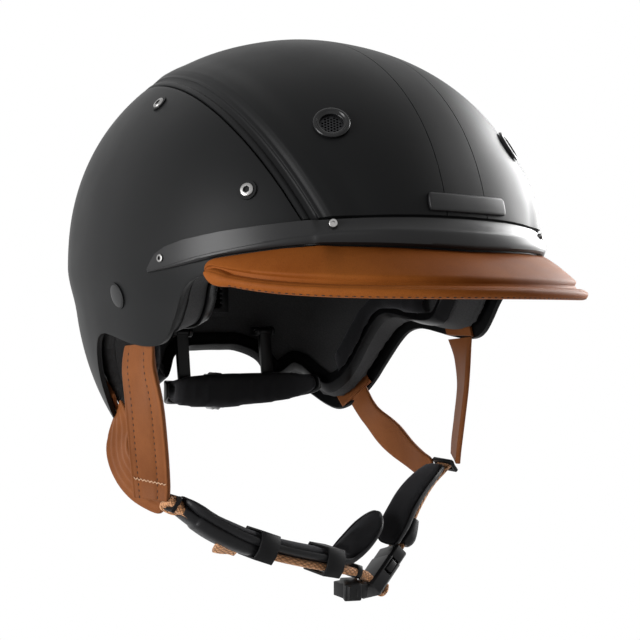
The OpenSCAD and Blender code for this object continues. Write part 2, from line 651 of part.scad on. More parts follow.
module front_strap_left() {
    color(tan_leather) mirror([1, 0, 0]) ribbon([
        [on_shell(side_dir(left_out_y, front_out_z), strap_mid), [-1, -0.2, -0.1], strap_w, strap_t * 0.6],
        [[-103.8, -27.3, -54], [-1, -0.5, -0.1], strap_w, strap_t],
        [[-103, -28.4, -70], [-1, -0.65, -0.1], strap_w, strap_t],
        [[-101.5, -27, -90], [-1, -0.68, -0.1], strap_w, strap_t],
        [[-101, -25, -105], [-1, -0.68, -0.1], strap_w - 1, strap_t],
        [[-101.5, -23.5, -114.5], [-1, -0.68, -0.05], strap_w - 4, strap_t]], padded, 3);
}
module rear_strap() {
    start = rear_at(3.8, 0);
    way = side_dir(start.x, start.y);
    color(tan_leather) ribbon([
        [on_shell(way, strap_mid - 0.7), outward(way), rear_w - 1, strap_t * 0.6],
        [[-89.6, 44, -89.8], [-1, 0.15, -0.15], rear_w, strap_t],
        [[-93.2, 33, -98.6], [-1, 0, -0.1], rear_w, strap_t],
        [[-94.6, 21, -107], [-1, -0.1, -0.1], rear_w - 1, strap_t],
        [[-93.4, 7, -114], [-1, -0.25, 0], rear_w - 4, strap_t],
        [[-91, -6, -118], [-1, -0.4, 0], rear_w - 8, strap_t]], padded, 3);
}
module junction_ring(at) {
    color(gloss_black) translate(at) rotate([0, 38, 0]) rotate([0, 90, 0])
        linear_extrude(2.2, center = true) difference() {
            square([webbing_t + 6, webbing_w + 5], center = true);
            square([webbing_t + 4 * seam_gap, webbing_w + 5 * seam_gap], center = true);
        }
}
module rear_strap_right() rear_strap();
module junction_ring_right() junction_ring([-junction_x + 7.6, -17, -121]);
module rear_strap_left() mirror([1, 0, 0]) rear_strap();
module junction_ring_left() mirror([1, 0, 0]) junction_ring([-junction_x + 1.2, -22.3, -117.4]);

// Rings of a strip under the chin, whose width lies along Y and whose head side is off mm inwards.
// Each stop is [place, width, thickness], from right to left. A hollow inside it is wall mm
// smaller all round and ends past mm beyond each end
function strip_rings(stops, off, section, k = 3, wall = 0, past = 0) =
    let (p = smooth([for (s = stops) s[0]], k), w = smooth([for (s = stops) s[1]], k),
        h = smooth([for (s = stops) s[2]], k), n = len(p))
    [for (i = [0:n - 1])
        let (t = unit(p[min(i + 1, n - 1)] - p[max(i - 1, 0)]), s = unit([0, 1, 0] - t * t.y),
            up = cross(t, s), q = p[i] + t * (i == 0 ? -past : i == n - 1 ? past : 0))
            [for (c = section)
                q + s * c.x * (w[i] - 2 * wall) + up * (off + c.y * (h[i] - 2 * wall))]];
module strip(stops, off, section, k = 3) skin(strip_rings(stops, off, section, k));
module sleeve(stops, off, wall, k = 3) {
    difference() {
        skin(strip_rings(stops, off, flat, k));
        skin(strip_rings(stops, off, flat, k, wall, 1));
    }
}
// Route of the right half of the chin strap, junction to buckle
chin_path = [[-85, -18, -123.5], [-79, -20, -128.5], [-70, -23, -135.5], [-58, -26, -142.5],
    [-46, -28, -148], [-34, -29, -152.5], [-20, -30, -157], [-8, -30.5, -160.5], [2, -31, -163.5],
    [12, -31.5, -166], [20, -32, -168.5], [24.5, -32.5, -172.2]];
function stops(from, to, w, t) = [for (i = [from:to]) [chin_path[i], w, t]];
module chin_webbing() {
    // Its end lies against the front strap
    color(braid) strip(concat([[[-junction_x + 5.9, -17, -119.3], webbing_w, webbing_t]],
        stops(0, 11, webbing_w, webbing_t)), 0, flat, 3);
}
cover_wall = 1;
cover_t = webbing_t + 2 * seam_gap + 2 * cover_wall;
module chin_cover() {
    color(black) sleeve([for (i = [1:4]) [chin_path[i], i < 3 ? 19 : 17, cover_t]], 0, cover_wall);
}
pad_t = 5.5;
chin_pad_w = 20;
pad_up = cover_t / 2 + seam_gap + pad_t / 2;
module chin_pad() {
    ends = [[[12, -30, -164], 21, pad_t], [[23, -29, -158], 25, pad_t * 0.8],
        [[34, -28.5, -149], 22, pad_t * 0.7], [[41, -28, -141.5], 10, pad_t * 0.4]];
    color(black) strip(concat([[chin_path[0] + [-1, 0, 1], 12, pad_t * 0.6]],
        [for (i = [1:8]) [chin_path[i], chin_pad_w, pad_t]], ends), pad_up, padded, 3);
}
keeper_wall = 1.2;
keeper_l = 11;
// Places of the keepers: a stop of the chin route, and how far past it
keeper_at = [[4, 3], [8, -5]];
keeper_t = cover_t / 2 + pad_up + pad_t / 2 + 6 * seam_gap + 2 * keeper_wall;
// A loop of length l round the strap at a place of its path
module loop_at(place, along, l, w, t, off, wall) {
    sleeve([for (s = [-0.5, 0.5]) [place + s * l * along, w, t]], off, wall, 1);
}
module strap_keepers() {
    color(gloss_black) for (k = keeper_at)
        let (along = unit(chin_path[k[0] + 1] - chin_path[k[0] - 1]))
            loop_at(chin_path[k[0]] + k[1] * along, along, keeper_l,
                chin_pad_w + 2 * keeper_wall + 6 * seam_gap, keeper_t,
                pad_up / 2 + pad_t / 4 - cover_t / 4, keeper_wall);
}
module slider_ring() {
    along = unit(chin_path[10] - chin_path[9]);
    color(gloss_black) loop_at(chin_path[9] + 4.5 * along, along, 3.2, webbing_w + 4.6,
        webbing_t + 4.6, 0, 2);
}

// Buckle: Z of its frame runs the way the clip goes in, X across the buckle

buckle_at = [33, -32, -173.6];
buckle_dir = unit([-0.79, -0.18, -0.58]);
// Rough direction across the buckle
buckle_side = [0.45, 0.89, 0];
module buckle_frame() {
    z = buckle_dir;
    x = unit(buckle_side - z * (z * buckle_side));
    y = cross(z, x);
    multmatrix([[x.x, y.x, z.x, buckle_at.x], [x.y, y.y, z.y, buckle_at.y],
        [x.z, y.z, z.z, buckle_at.z], [0, 0, 0, 1]]) children();
}
housing_l = 22;
tongue_w = 9;
mouth_w = 14.6;
mouth_t = 5.4;
// Block from z0 to z1, w by t, with its long edges cut off by c
module block(w, t, z0, z1, c = 0) {
    translate([0, 0, z0]) linear_extrude(z1 - z0) polygon([[-w / 2 + c, -t / 2], [w / 2 - c, -t / 2],
        [w / 2, -t / 2 + c], [w / 2, t / 2 - c], [w / 2 - c, t / 2], [-w / 2 + c, t / 2],
        [-w / 2, t / 2 - c], [-w / 2, -t / 2 + c]]);
}
module buckle_housing() {
    color(black) buckle_frame() difference() {
        block(buckle_w, buckle_t, -housing_l / 2, housing_l / 2, 1.4);
        block(mouth_w, mouth_t, -housing_l / 2 - 1, 3, 0);
        block(buckle_w + 2, mouth_t - 0.6, -housing_l / 2 - 1, -1, 0);
        translate([0, 0, 7]) cube([webbing_w + 1, buckle_t + 2, 3], center = true);
    }
}
module buckle_clip() {
    color(black) buckle_frame() {
        block(buckle_w - 1, buckle_t - 0.6, -housing_l / 2 - 8.3, -housing_l / 2 - seam_gap, 1.2);
        block(tongue_w, mouth_t - 1.6, -housing_l / 2 - 1, 1.5, 0.4);
    }
}
// Release button on one side of the clip, 1 or -1
module release_button(s) {
    color(black) buckle_frame() translate([s * 8.4, 0, -6]) cube([4.2, mouth_t - 1.6, 7], center = true);
}
module release_button_front() release_button(-1);
module release_button_back() release_button(1);
module adjuster_bar() {
    color(black) translate([14, -33.2, -177.3]) rotate([90, 0, -atan2(buckle_side.x, buckle_side.y)])
        linear_extrude(15, center = true) difference() {
            square([9.6, 9.4], center = true);
            square([4.4, 4], center = true);
        }
}
// Route of the left half, buckle to junction
left_path = [[49.8, -28.6, -161], [54, -28.3, -155.5], [60.5, -27, -146.5], [68, -25.5, -137],
    [79, -23, -127.5], [91, -22, -119.5], [junction_x + 1.2, -21.8, -115.7]];
module left_webbing() {
    color(braid) strip([for (p = left_path) [p, webbing_w, webbing_t]], 0, flat, 3);
}
module left_cover() {
    color(black) sleeve([[(left_path[0] + left_path[1]) / 2, 15, cover_t],
        [left_path[1] + [1, 0, 1], 18, cover_t + 1],
        [left_path[2] + [1, 0, 1], 15, cover_t]], 0, cover_wall);
}
// Route of the left padding, which stands off the webbing
left_pad_path = [[[43.5, -29.5, -155.5], 12, pad_t * 0.6], [[48, -29.3, -147], 22, pad_t],
    [[55.5, -28.5, -137], 24, pad_t * 1.1], [[65.5, -26, -128.8], 23, pad_t],
    [[76.5, -24, -122], 19, pad_t], [[87, -22.5, -116.5], 11, pad_t * 0.6]];
module left_pad() {
    color(black) strip(left_pad_path, 0, padded, 3);
}

crown_shell();
side_shell_right();
side_shell_left();
foam_liner();
liner_rim();
brow_trim();
peak_board();
peak_leather();
peak_lining();
badge_plate();
vent_rings();
vent_meshes();
panel_screws();
trim_screws();
side_studs();
brow_pad();
crown_pad();
side_pad_right();
side_pad_left();
height_guide();
cradle_brackets();
cradle_pins();
cradle_struts();
cradle_band();
cradle_pad();
dial_housing();
dial_knob();
dial_gear();
strap_roots();
front_strap_right();
rear_strap_right();
junction_ring_right();
front_strap_left();
rear_strap_left();
junction_ring_left();
chin_webbing();
chin_cover();
chin_pad();
strap_keepers();
slider_ring();
buckle_housing();
adjuster_bar();
buckle_clip();
release_button_front();
release_button_back();
left_webbing();
left_cover();
left_pad();
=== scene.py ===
import bpy
import math
from mathutils import Matrix, Vector


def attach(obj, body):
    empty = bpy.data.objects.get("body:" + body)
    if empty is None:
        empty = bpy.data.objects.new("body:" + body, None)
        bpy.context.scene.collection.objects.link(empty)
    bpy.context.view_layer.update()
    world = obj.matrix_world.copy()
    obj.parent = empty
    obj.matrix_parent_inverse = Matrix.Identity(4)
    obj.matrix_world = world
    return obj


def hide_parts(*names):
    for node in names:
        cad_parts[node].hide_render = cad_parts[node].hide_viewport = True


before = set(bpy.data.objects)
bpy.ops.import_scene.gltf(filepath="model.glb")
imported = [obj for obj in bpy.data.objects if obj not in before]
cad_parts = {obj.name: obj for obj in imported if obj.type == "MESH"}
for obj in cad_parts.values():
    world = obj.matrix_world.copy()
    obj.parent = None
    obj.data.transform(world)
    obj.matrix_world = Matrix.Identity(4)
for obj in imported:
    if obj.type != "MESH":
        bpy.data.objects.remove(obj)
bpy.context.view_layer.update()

# Camera, floor and lamps
# A plain studio: the camera stands low at the wearer's right front, a pale round floor lies
# well below the helmet, and large soft boxes stand behind at both sides, as for black goods.
EYE = Vector((-0.3250, -0.4725, -0.0246))
LOOK = Vector((0.5868, 0.8097, -0.0096))
camera = bpy.data.objects.new("camera", bpy.data.cameras.new("camera"))
bpy.context.scene.collection.objects.link(camera)
camera.location = EYE
camera.rotation_euler = LOOK.to_track_quat("-Z", "Y").to_euler()
camera.data.lens = 57.116
camera.data.sensor_width = 36
camera.data.clip_start = 0.05
camera.data.clip_end = 20
bpy.context.scene.camera = camera
bpy.context.scene.view_settings.view_transform = "Standard"


def feed(tree, shader, inputs):
    """Sets each of a shader node's inputs, from a value or from the output that it is given."""
    for key, value in inputs.items():
        if isinstance(value, bpy.types.NodeSocket):
            tree.links.new(value, shader.inputs[key])
        else:
            shader.inputs[key].default_value = value


def node(tree, kind, inputs={}, **settings):
    """Adds a shader node with these settings and inputs, and returns its outputs."""
    made = tree.nodes.new("ShaderNode" + kind)
    for key, value in settings.items():
        setattr(made, key, value)
    feed(tree, made, inputs)
    return made.outputs


def maths(tree, operation, *values):
    return node(tree, "Math", dict(enumerate(values)), operation=operation)[0]


def span(tree, value, from_low=0.0, from_high=1.0, low=0.0, high=1.0, **settings):
    """A value carried over from one range to another."""
    return node(tree, "MapRange", {"Value": value, "From Min": from_low, "From Max": from_high,
                                   "To Min": low, "To Max": high}, **settings)["Result"]


WHITE = (1, 1, 1, 1)
SKY_FILL = 0.12
world = bpy.data.worlds.new("studio")
bpy.context.scene.world = world
world.use_nodes = True
sky = world.node_tree
sky.nodes.clear()
rays = node(sky, "LightPath")
seen = rays["Is Camera Ray"]
for kind in ("Is Glossy Ray", "Is Transmission Ray"):
    seen = maths(sky, "MAXIMUM", seen, rays[kind])
sky_light = [node(sky, "Background", {"Color": WHITE, "Strength": power})[0] for power in (SKY_FILL, 1.0)]
sky_mix = node(sky, "MixShader", {"Fac": seen, 1: sky_light[0], 2: sky_light[1]})[0]
node(sky, "OutputWorld", {"Surface": sky_mix})

bpy.ops.object.select_all(action="DESELECT")
bpy.ops.mesh.primitive_circle_add(vertices=96, radius=0.62, fill_type="NGON", location=(0, 0, -0.42))
floor = bpy.context.object
floor.name = "floor"
bpy.ops.object.transform_apply(location=True, rotation=True, scale=True)
floor_paint = bpy.data.materials.new("pale_floor")
floor_paint.use_nodes = True
t = floor_paint.node_tree
t.nodes.clear()
# Towards its edge the floor turns white for the camera alone, so that it shows no rim
flat = node(t, "VectorMath", {0: node(t, "TexCoord")["Object"], 1: (1, 1, 0)}, operation="MULTIPLY")[0]
away = node(t, "VectorMath", {0: flat}, operation="LENGTH")["Value"]
edge = span(t, away, 0.3, 0.6, interpolation_type="SMOOTHSTEP")
only_seen = maths(t, "MULTIPLY", edge, node(t, "LightPath")["Is Camera Ray"])
matt = node(t, "BsdfDiffuse", {"Color": (0.8, 0.8, 0.8, 1)})[0]
glow = node(t, "Emission", {"Color": WHITE, "Strength": 1.0})[0]
node(t, "OutputMaterial", {"Surface": node(t, "MixShader", {"Fac": only_seen, 1: matt, 2: glow})[0]})
floor.data.materials.append(floor_paint)


def soft_box(name, place, width, height, watts):
    """A rectangular lamp that faces the helmet's middle."""
    lamp = bpy.data.objects.new(name, bpy.data.lights.new(name, "AREA"))
    bpy.context.scene.collection.objects.link(lamp)
    lamp.data.shape = "RECTANGLE"
    lamp.data.size, lamp.data.size_y = width, height
    lamp.data.energy = watts
    lamp.location = place
    lamp.rotation_euler = (-Vector(place)).to_track_quat("-Z", "Y").to_euler()


soft_box("left_box", (-1.35, 0.0, 0.02), 0.6, 1.0, 24)
soft_box("right_box", (1.3, -0.02, 0.4), 1.0, 0.9, 38)
soft_box("front_box", (-0.75, -1.2, 0.5), 0.9, 0.7, 1)
soft_box("top_box", (0.3, 0.2, 1.5), 0.9, 0.9, 0.3)

# Crown shell
# The middle panel of the hard shell, moulded in one piece from brow to nape. Beside each side
# panel it has a narrow bead, a channel and a raised shoulder, and at the brow it takes the trim.
MM = 0.001
# Half axes of the shell's and the head's domes: side, front, back, up and down
SHELL = (116.0, 140.0, 145.0, 123.0, 145.0)
HEAD = (84.0, 106.0, 95.0, 92.0, 150.0)
# How square the domes are in plan and in height, and how they draw in below the brow
PLAN_POWER, HEIGHT_POWER = 2.28, 2.12
WAIST_FALL, WAIST_SHARE = 26, 0.035
SHELL_WALL = 2.6
LEAN = math.radians(7)


def lean_down(v):
    c, s = math.cos(LEAN), math.sin(LEAN)
    return Vector((v.x, v.y * c + v.z * s, -v.y * s + v.z * c))


def lean_up(v):
    c, s = math.cos(LEAN), math.sin(LEAN)
    return Vector((v.x, v.y * c - v.z * s, v.y * s + v.z * c))


def on_dome(direction, axes, out):
    """Place, in millimetres, where the dome with these half axes, grown by out, meets a direction."""
    d = direction.normalized()
    e = lean_down(d)
    side, front, back, up, down = [a + out for a in axes]
    plan = (abs(e.x / side) ** PLAN_POWER
            + abs(e.y / (front if e.y < 0 else back)) ** PLAN_POWER) ** (1 / PLAN_POWER)
    high = abs(e.z / (up if e.z > 0 else down))
    p = d / (plan ** HEIGHT_POWER + high ** HEIGHT_POWER) ** (1 / HEIGHT_POWER)
    u = min(max(-p.z / WAIST_FALL, 0), 1)
    return Vector((p.x * (1 - WAIST_SHARE * u * u * (3 - 2 * u)), p.y, p.z))


def on_shell(direction, out=0.0):
    return on_dome(direction, SHELL, out)


def on_head(direction, out=0.0):
    return on_dome(direction, HEAD, out)


def band_way(round_deg, side_deg):
    """Direction by the angle from the brow over the crown and the angle to the side."""
    r, s = math.radians(round_deg), math.radians(side_deg)
    return lean_up(Vector((math.sin(s), -math.cos(s) * math.cos(r), math.cos(s) * math.sin(r))))


def seam_angle(round_deg):
    """Angle to the side of the seam between crown and side panel, at each angle over the crown."""
    r = max(round_deg, 14)
    fall = 44.2 - 7 * ((r - 69) / 43) ** 2 - 17
    return 17 + (fall + math.sqrt(fall * fall + 16)) / 2


def between(table, x):
    """Value at x of a table of (x, value), rounded off between its points."""
    if x <= table[0][0]:
        return table[0][1]
    for (x0, y0), (x1, y1) in zip(table, table[1:]):
        if x <= x1:
            f = (x - x0) / (x1 - x0)
            return y0 + (y1 - y0) * f * f * (3 - 2 * f)
    return table[-1][1]


def alone(piece):
    """Selects only this piece and makes it the one that operators act on."""
    if bpy.context.object and bpy.context.object.mode != "OBJECT":
        bpy.ops.object.mode_set(mode="OBJECT")
    bpy.ops.object.select_all(action="DESELECT")
    piece.select_set(True)
    bpy.context.view_layer.objects.active = piece


def edited(piece, *steps):
    """Runs mesh operators, each given with its settings, on the whole of a piece."""
    alone(piece)
    bpy.ops.object.mode_set(mode="EDIT")
    bpy.ops.mesh.select_all(action="SELECT")
    for step, settings in steps:
        step(**settings)
    bpy.ops.object.mode_set(mode="OBJECT")
    return piece


MERGE = (bpy.ops.mesh.remove_doubles, {"threshold": 1e-6})
CAP = (bpy.ops.mesh.fill_holes, {"sides": 0})
FACE_OUT = (bpy.ops.mesh.normals_make_consistent, {"inside": False})


def pressed(name, cols, rows, mould, closed=True):
    """A flat grid laid on a mould, which gives each point's place in millimetres from its shares
    across and along. A closed one is joined along its long edge and capped at both ends, and an
    open one faces away from the helmet's middle."""
    bpy.ops.object.select_all(action="DESELECT")
    bpy.ops.mesh.primitive_grid_add(x_subdivisions=cols, y_subdivisions=rows, size=1)
    piece = bpy.context.object
    piece.name = piece.data.name = name
    for v in piece.data.vertices:
        v.co = Vector(mould(min(max(v.co.x + 0.5, 0), 1), min(max(v.co.y + 0.5, 0), 1))) * MM
    piece.data.update()
    if closed:
        edited(piece, MERGE, CAP)
        return edited(piece, FACE_OUT)
    middle = piece.data.polygons[len(piece.data.polygons) // 2]
    if middle.normal.dot(middle.center) < 0:
        edited(piece, (bpy.ops.mesh.flip_normals, {}))
    return piece


def add(piece, kind, **settings):
    """Adds a modifier and applies it at once."""
    alone(piece)
    m = piece.modifiers.new(kind.lower(), kind)
    for key, value in settings.items():
        setattr(m, key, value)
    bpy.ops.object.modifier_apply(modifier=m.name)
    return piece


def eased(piece, width, degrees, segments=2):
    """Rounds off the edges that are sharper than this."""
    return add(piece, "BEVEL", width=width * MM, segments=segments, limit_method="ANGLE",
               angle_limit=math.radians(degrees))


def walled(piece, wall, round_off):
    """Gives a sheet its wall, inwards, and rounds the wall's edges."""
    add(piece, "SOLIDIFY", thickness=wall * MM, offset=-1, use_even_offset=True)
    return smooth(eased(piece, round_off, 50, 3), 40)


def smooth(piece, degrees):
    alone(piece)
    bpy.ops.object.shade_smooth_by_angle(angle=math.radians(degrees))
    return piece


def new_material(name):
    """A new material and its node tree."""
    m = bpy.data.materials.new(name)
    m.use_nodes = True
    return m, m.node_tree


def dressed(m, inputs):
    """Gives a material's shader its inputs."""
    feed(m.node_tree, m.node_tree.nodes["Principled BSDF"], inputs)
    return m


def noise(tree, place, scale, detail, roughness=0.5):
    return node(tree, "TexNoise", {"Vector": place, "Scale": scale, "Detail": detail,
                                   "Roughness": roughness})["Fac"]


def blend(tree, share, a, b):
    """A mix of two colours."""
    return node(tree, "Mix", {"Factor": share, "A": (*a, 1), "B": (*b, 1)}, data_type="RGBA")["Result"]


def times(colour, share):
    return [c * share for c in colour]


def bumped(tree, height, distance, strength=1.0, inputs={}):
    """A bump of this height, in millimetres."""
    return node(tree, "Bump", {"Height": height, "Distance": distance * MM, "Strength": strength,
                               **inputs})["Normal"]


def moulded(name, colour, roughness, grain, depth, shine):
    """Moulded plastic: a fine even grain, and a finish that varies a little from place to place."""
    m, t = new_material(name)
    place = node(t, "TexCoord")["Object"]
    wide = noise(t, place, 28, 4)
    return dressed(m, {"Base Color": blend(t, wide, times(colour, 0.82), times(colour, 1.18)),
                       "Roughness": span(t, wide, 0.3, 0.7, roughness - 0.035, roughness + 0.035),
                       "Specular IOR Level": shine,
                       "Normal": bumped(t, noise(t, place, 1 / (grain * MM), 3), depth, 0.5)})


def finished(piece, material, slot, body, *stands_for):
    """The last step for a piece: its material, the body it rides on, the node it replaces. Its slot is not
    used.
    """
    piece.data.materials.clear()
    piece.data.materials.append(material)
    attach(piece, body)
    if stands_for:
        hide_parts(*stands_for)
    return piece


# Offset of the crown's surface by degrees inboard of the seam
CROWN_EDGE = [(0.0, -1.6), (0.14, -0.5), (0.35, 0.05), (1.0, 0.1), (1.35, -0.35), (1.6, -0.9),
              (2.6, -0.95), (2.9, -0.6), (3.1, 0.35), (3.5, 0.45), (3.8, 0.35), (4.6, 1.3), (5.4, 1.8),
              (6.4, 1.55), (11.5, 0.0)]
CROWN_ACROSS = [0.05, 0.1, 0.16, 0.24, 0.34, 0.5, 0.7, 0.9, 1.1, 1.25, 1.4, 1.5, 1.62, 1.8, 2.1, 2.4, 2.6,
                2.75, 2.9, 2.98, 3.06, 3.14, 3.3, 3.5, 3.7, 3.9, 4.2, 4.5, 4.8, 5.1, 5.4, 5.8, 6.3, 7.0,
                8.0, 9.2, 10.4, 11.5]
CROWN_SIDE, CROWN_ROWS, FLANGE_ROWS = 44, 190, 10
# Columns beside the groove of each stripe, in millimetres from the middle
STRIPE = [13.4, 12.9, 12.72, 12.68, 12.32, 12.28, 12.1, 11.6]
CROWN_WIDE = 2 * (len(CROWN_ACROSS) - 1 + CROWN_SIDE)
CROWN_START, CROWN_END, FLANGE_START = 14.0, 207.0, 4.0


def crown_mould(u, v):
    i = round(u * CROWN_WIDE)
    left = i > CROWN_WIDE / 2
    i = CROWN_WIDE - i if left else i
    n = len(CROWN_ACROSS)
    row = round(v * CROWN_ROWS)
    flange = row <= FLANGE_ROWS
    if flange:
        angle = FLANGE_START + (CROWN_START - FLANGE_START) * row / FLANGE_ROWS
    else:
        first_row = FLANGE_ROWS + 0.7
        angle = CROWN_START + (CROWN_END - CROWN_START) * (row - first_row) / (CROWN_ROWS - first_row)
    seam = seam_angle(angle) - max(0, CROWN_START - angle) * 0.4
    fade = 1 - 0.6 * between([(62, 0), (100, 1)], angle)
    out = 0
    if i < n:
        side = -(seam - CROWN_ACROSS[i])
        out = between(CROWN_EDGE, CROWN_ACROSS[i])
        out = out * fade if out > 0 else out
    else:
        # From the shoulder to the stripe's groove, then to the middle
        reach = on_shell(band_way(angle, 0)).length
        near = i - n + 1
        stripe = [-math.degrees(math.asin(x / reach)) for x in STRIPE]
        first = CROWN_SIDE - 18
        if near < first:
            side = -(seam - 11.5) + (stripe[0] + seam - 11.5) * near / first
        elif near < first + len(STRIPE):
            side = stripe[near - first]
            out = -0.4 if near - first in (3, 4) else 0
        else:
            side = stripe[-1] * (CROWN_SIDE - near) / (CROWN_SIDE - first - len(STRIPE) + 1)
    out = -1.3 if flange else out
    return on_shell(band_way(angle, -side if left else side), out)


shell_black = moulded("shell_black", (0.006, 0.0062, 0.0065), 0.47, 0.3, 0.02, 0.1)
crown = pressed("crown", CROWN_WIDE, CROWN_ROWS, crown_mould, closed=False)
walled(crown, SHELL_WALL, 0.4)
finished(crown, shell_black, "shell", "helmet", "crown_shell")

# Side shells
# The two side panels of the hard shell. Each ends below in the ear arch and in the long rear
# lobe that the rear strap comes out of, and is held by screws and by the side stud.
EAR_EDGE = [(-115.5, -6.5), (-100, -7.5), (-86, -8.5), (-74, -9.5), (-67, -12), (-60, -18), (-53, -29),
            (-47, -37), (-40, -41), (-29, -42), (-16, -41), (-4, -39), (8, -37), (17, -36.5), (25, -39),
            (31, -45), (36, -53), (40.5, -62), (44, -70.5), (49, -79.5), (56, -87), (64, -90), (75, -87),
            (88, -80.5), (100, -74), (112, -65), (122, -56.5), (128, -51)]
SIDE_END = 203.0


def run(stops, t):
    """Place at share t of a smooth line through the stops, each a tuple or a vector."""
    x = min(max(t, 0), 1) * (len(stops) - 1)
    i = min(int(x), len(stops) - 2)
    u = x - i
    a, b, c, d = stops[max(i - 1, 0)], stops[i], stops[i + 1], stops[min(i + 2, len(stops) - 1)]
    return [0.5 * (2 * q + (r - p) * u + (2 * p - 5 * q + 4 * r - s) * u * u
                   + (3 * q - p - 3 * r + s) * u ** 3) for p, q, r, s in zip(a, b, c, d)]


def side_way(y, z):
    """Direction of the right side panel's point that has this place in the side view."""
    e = lean_down(Vector((0, y, z)))
    high = (abs(e.z) / (SHELL[3] if e.z > 0 else SHELL[4])) ** HEIGHT_POWER
    wide = (1 - high) ** (PLAN_POWER / HEIGHT_POWER) - (
        abs(e.y) / (SHELL[1] if e.y < 0 else SHELL[2])) ** PLAN_POWER
    return Vector((-SHELL[0] * max(wide, 0.001) ** (1 / PLAN_POWER), y, z)).normalized()


def side_mould(u, v):
    y, z = run(EAR_EDGE, u)
    y0, y1 = EAR_EDGE[0][0], EAR_EDGE[-1][0]
    f = min(max((y - y0) / (y1 - y0), 0), 1)
    angle = CROWN_START + 0.1 + (SIDE_END - CROWN_START) * math.degrees(math.acos(1 - 2 * f)) / 180
    top, low = band_way(angle, -seam_angle(angle) - 0.15), side_way(y, z)
    # The panel's edge turns in a little beside the seam
    w = v ** 1.15
    return on_shell(top + (low - top) * w, -0.9 * max(0, 1 - v / 0.035) ** 2)


def round_hole(piece, place, way, radius, depth):
    """Cuts a round hole or recess of this depth square to the surface."""
    bpy.ops.object.select_all(action="DESELECT")
    bpy.ops.mesh.primitive_cylinder_add(vertices=48, radius=radius * MM, depth=2 * depth * MM,
                                        location=place * MM, rotation=way.to_track_quat("Z", "Y").to_euler())
    drill = bpy.context.object
    add(piece, "BOOLEAN", object=drill, operation="DIFFERENCE", solver="EXACT")
    bpy.data.objects.remove(drill)


def outward(way):
    """Outward normal of the shell in a direction."""
    d = way.normalized()
    a = d.cross(Vector((0, 0, 1))).normalized()
    b = a.cross(d)
    p, q, r = on_shell(d), on_shell(d + a * 0.01), on_shell(d + b * 0.01)
    n = (q - p).cross(r - p).normalized()
    return -n if n.dot(d) < 0 else n


PANEL_SCREWS = [(-13.4, 78.5), (-93, 28)]
STUD = (-9, -17.5)
VENT = (-109.4, 58.3)
side_right = pressed("side_panel_right", 230, 70, side_mould, closed=False)
walled(side_right, SHELL_WALL, 0.8)
for at in PANEL_SCREWS:
    round_hole(side_right, on_shell(side_way(*at)), outward(side_way(*at)), 4.4, 0.7)
round_hole(side_right, on_shell(side_way(*STUD)), outward(side_way(*STUD)), 6.7, 0.7)
smooth(side_right, 40)


def twin(piece):
    """A copy of a piece, with its own mesh."""
    copy = piece.copy()
    copy.data = piece.data.copy()
    bpy.context.scene.collection.objects.link(copy)
    return copy


def other_side(piece, name):
    """A mirrored copy of a piece."""
    copy = twin(piece)
    copy.name = copy.data.name = name
    copy.data.transform(Matrix.Scale(-1, 4, (1, 0, 0)))
    copy.data.flip_normals()
    return copy


side_left = other_side(side_right, "side_panel_left")
finished(side_right, shell_black, "shell", "helmet", "side_shell_right")
finished(side_left, shell_black, "shell", "helmet", "side_shell_left")
vent_way = side_way(*VENT)
for flip in (1, -1):
    way = Vector((vent_way.x * flip, vent_way.y, vent_way.z))
    n = outward(vent_way)
    round_hole(crown, on_shell(way), Vector((n.x * flip, n.y, n.z)), 6.9, 12)
smooth(crown, 40)

# Brow trim
# A satin moulding that wraps the brow and holds the peak. Its upper facet runs out to a lip that
# casts a deep shadow over the peak's root, and its ends taper to a point behind the temples.
TRIM_TOP = [(0, 6.7), (12, 6.57), (22, 6.25), (33, 5.75), (41, 5.1), (49, 4.38), (58, 3.2), (63, 2),
            (66, 0.6), (69, -2.6)]
TRIM_CREASE = [(0, 4.3), (17, 4.1), (27, 3.7), (36.5, 2.5), (43, 1.55), (54, -0.2), (62, -1.9), (69, -3.1)]
TRIM_LOW = [(0, 1), (20, 1.4), (30, 1.5), (37, 1), (49, -0.4), (55, -1.5), (62, -2.6), (69, -3.4)]


def straight(table, x):
    """Value at x of a table of (x, value), with straight lines between its points."""
    for (x0, y0), (x1, y1) in zip(table, table[1:]):
        if x <= x1:
            return y0 + (y1 - y0) * (max(x, x0) - x0) / (x1 - x0)
    return table[-1][1]


def heading(a, e):
    """Direction by the angle from the front towards the wearer's left and the height angle."""
    a, e = math.radians(a), math.radians(e)
    return Vector((math.sin(a) * math.cos(e), -math.cos(a) * math.cos(e), math.sin(e)))


# Rings of the trim's cross-section: the facet, upper or lower, and the share down it
TRIM_FACETS = [(0, 0.0), (0, 0.02), (0, 0.2), (0, 0.5), (0, 0.75), (0, 0.9), (1, 0.0), (1, 0.12), (1, 0.3),
               (1, 0.5), (1, 0.7), (1, 0.84), (1, 0.94), (1, 1.0), (1, 0.98), (1, 0.5), (0, 0.5), (0, 0.03)]
TRIM_OUTER, TRIM_END = 14, 69


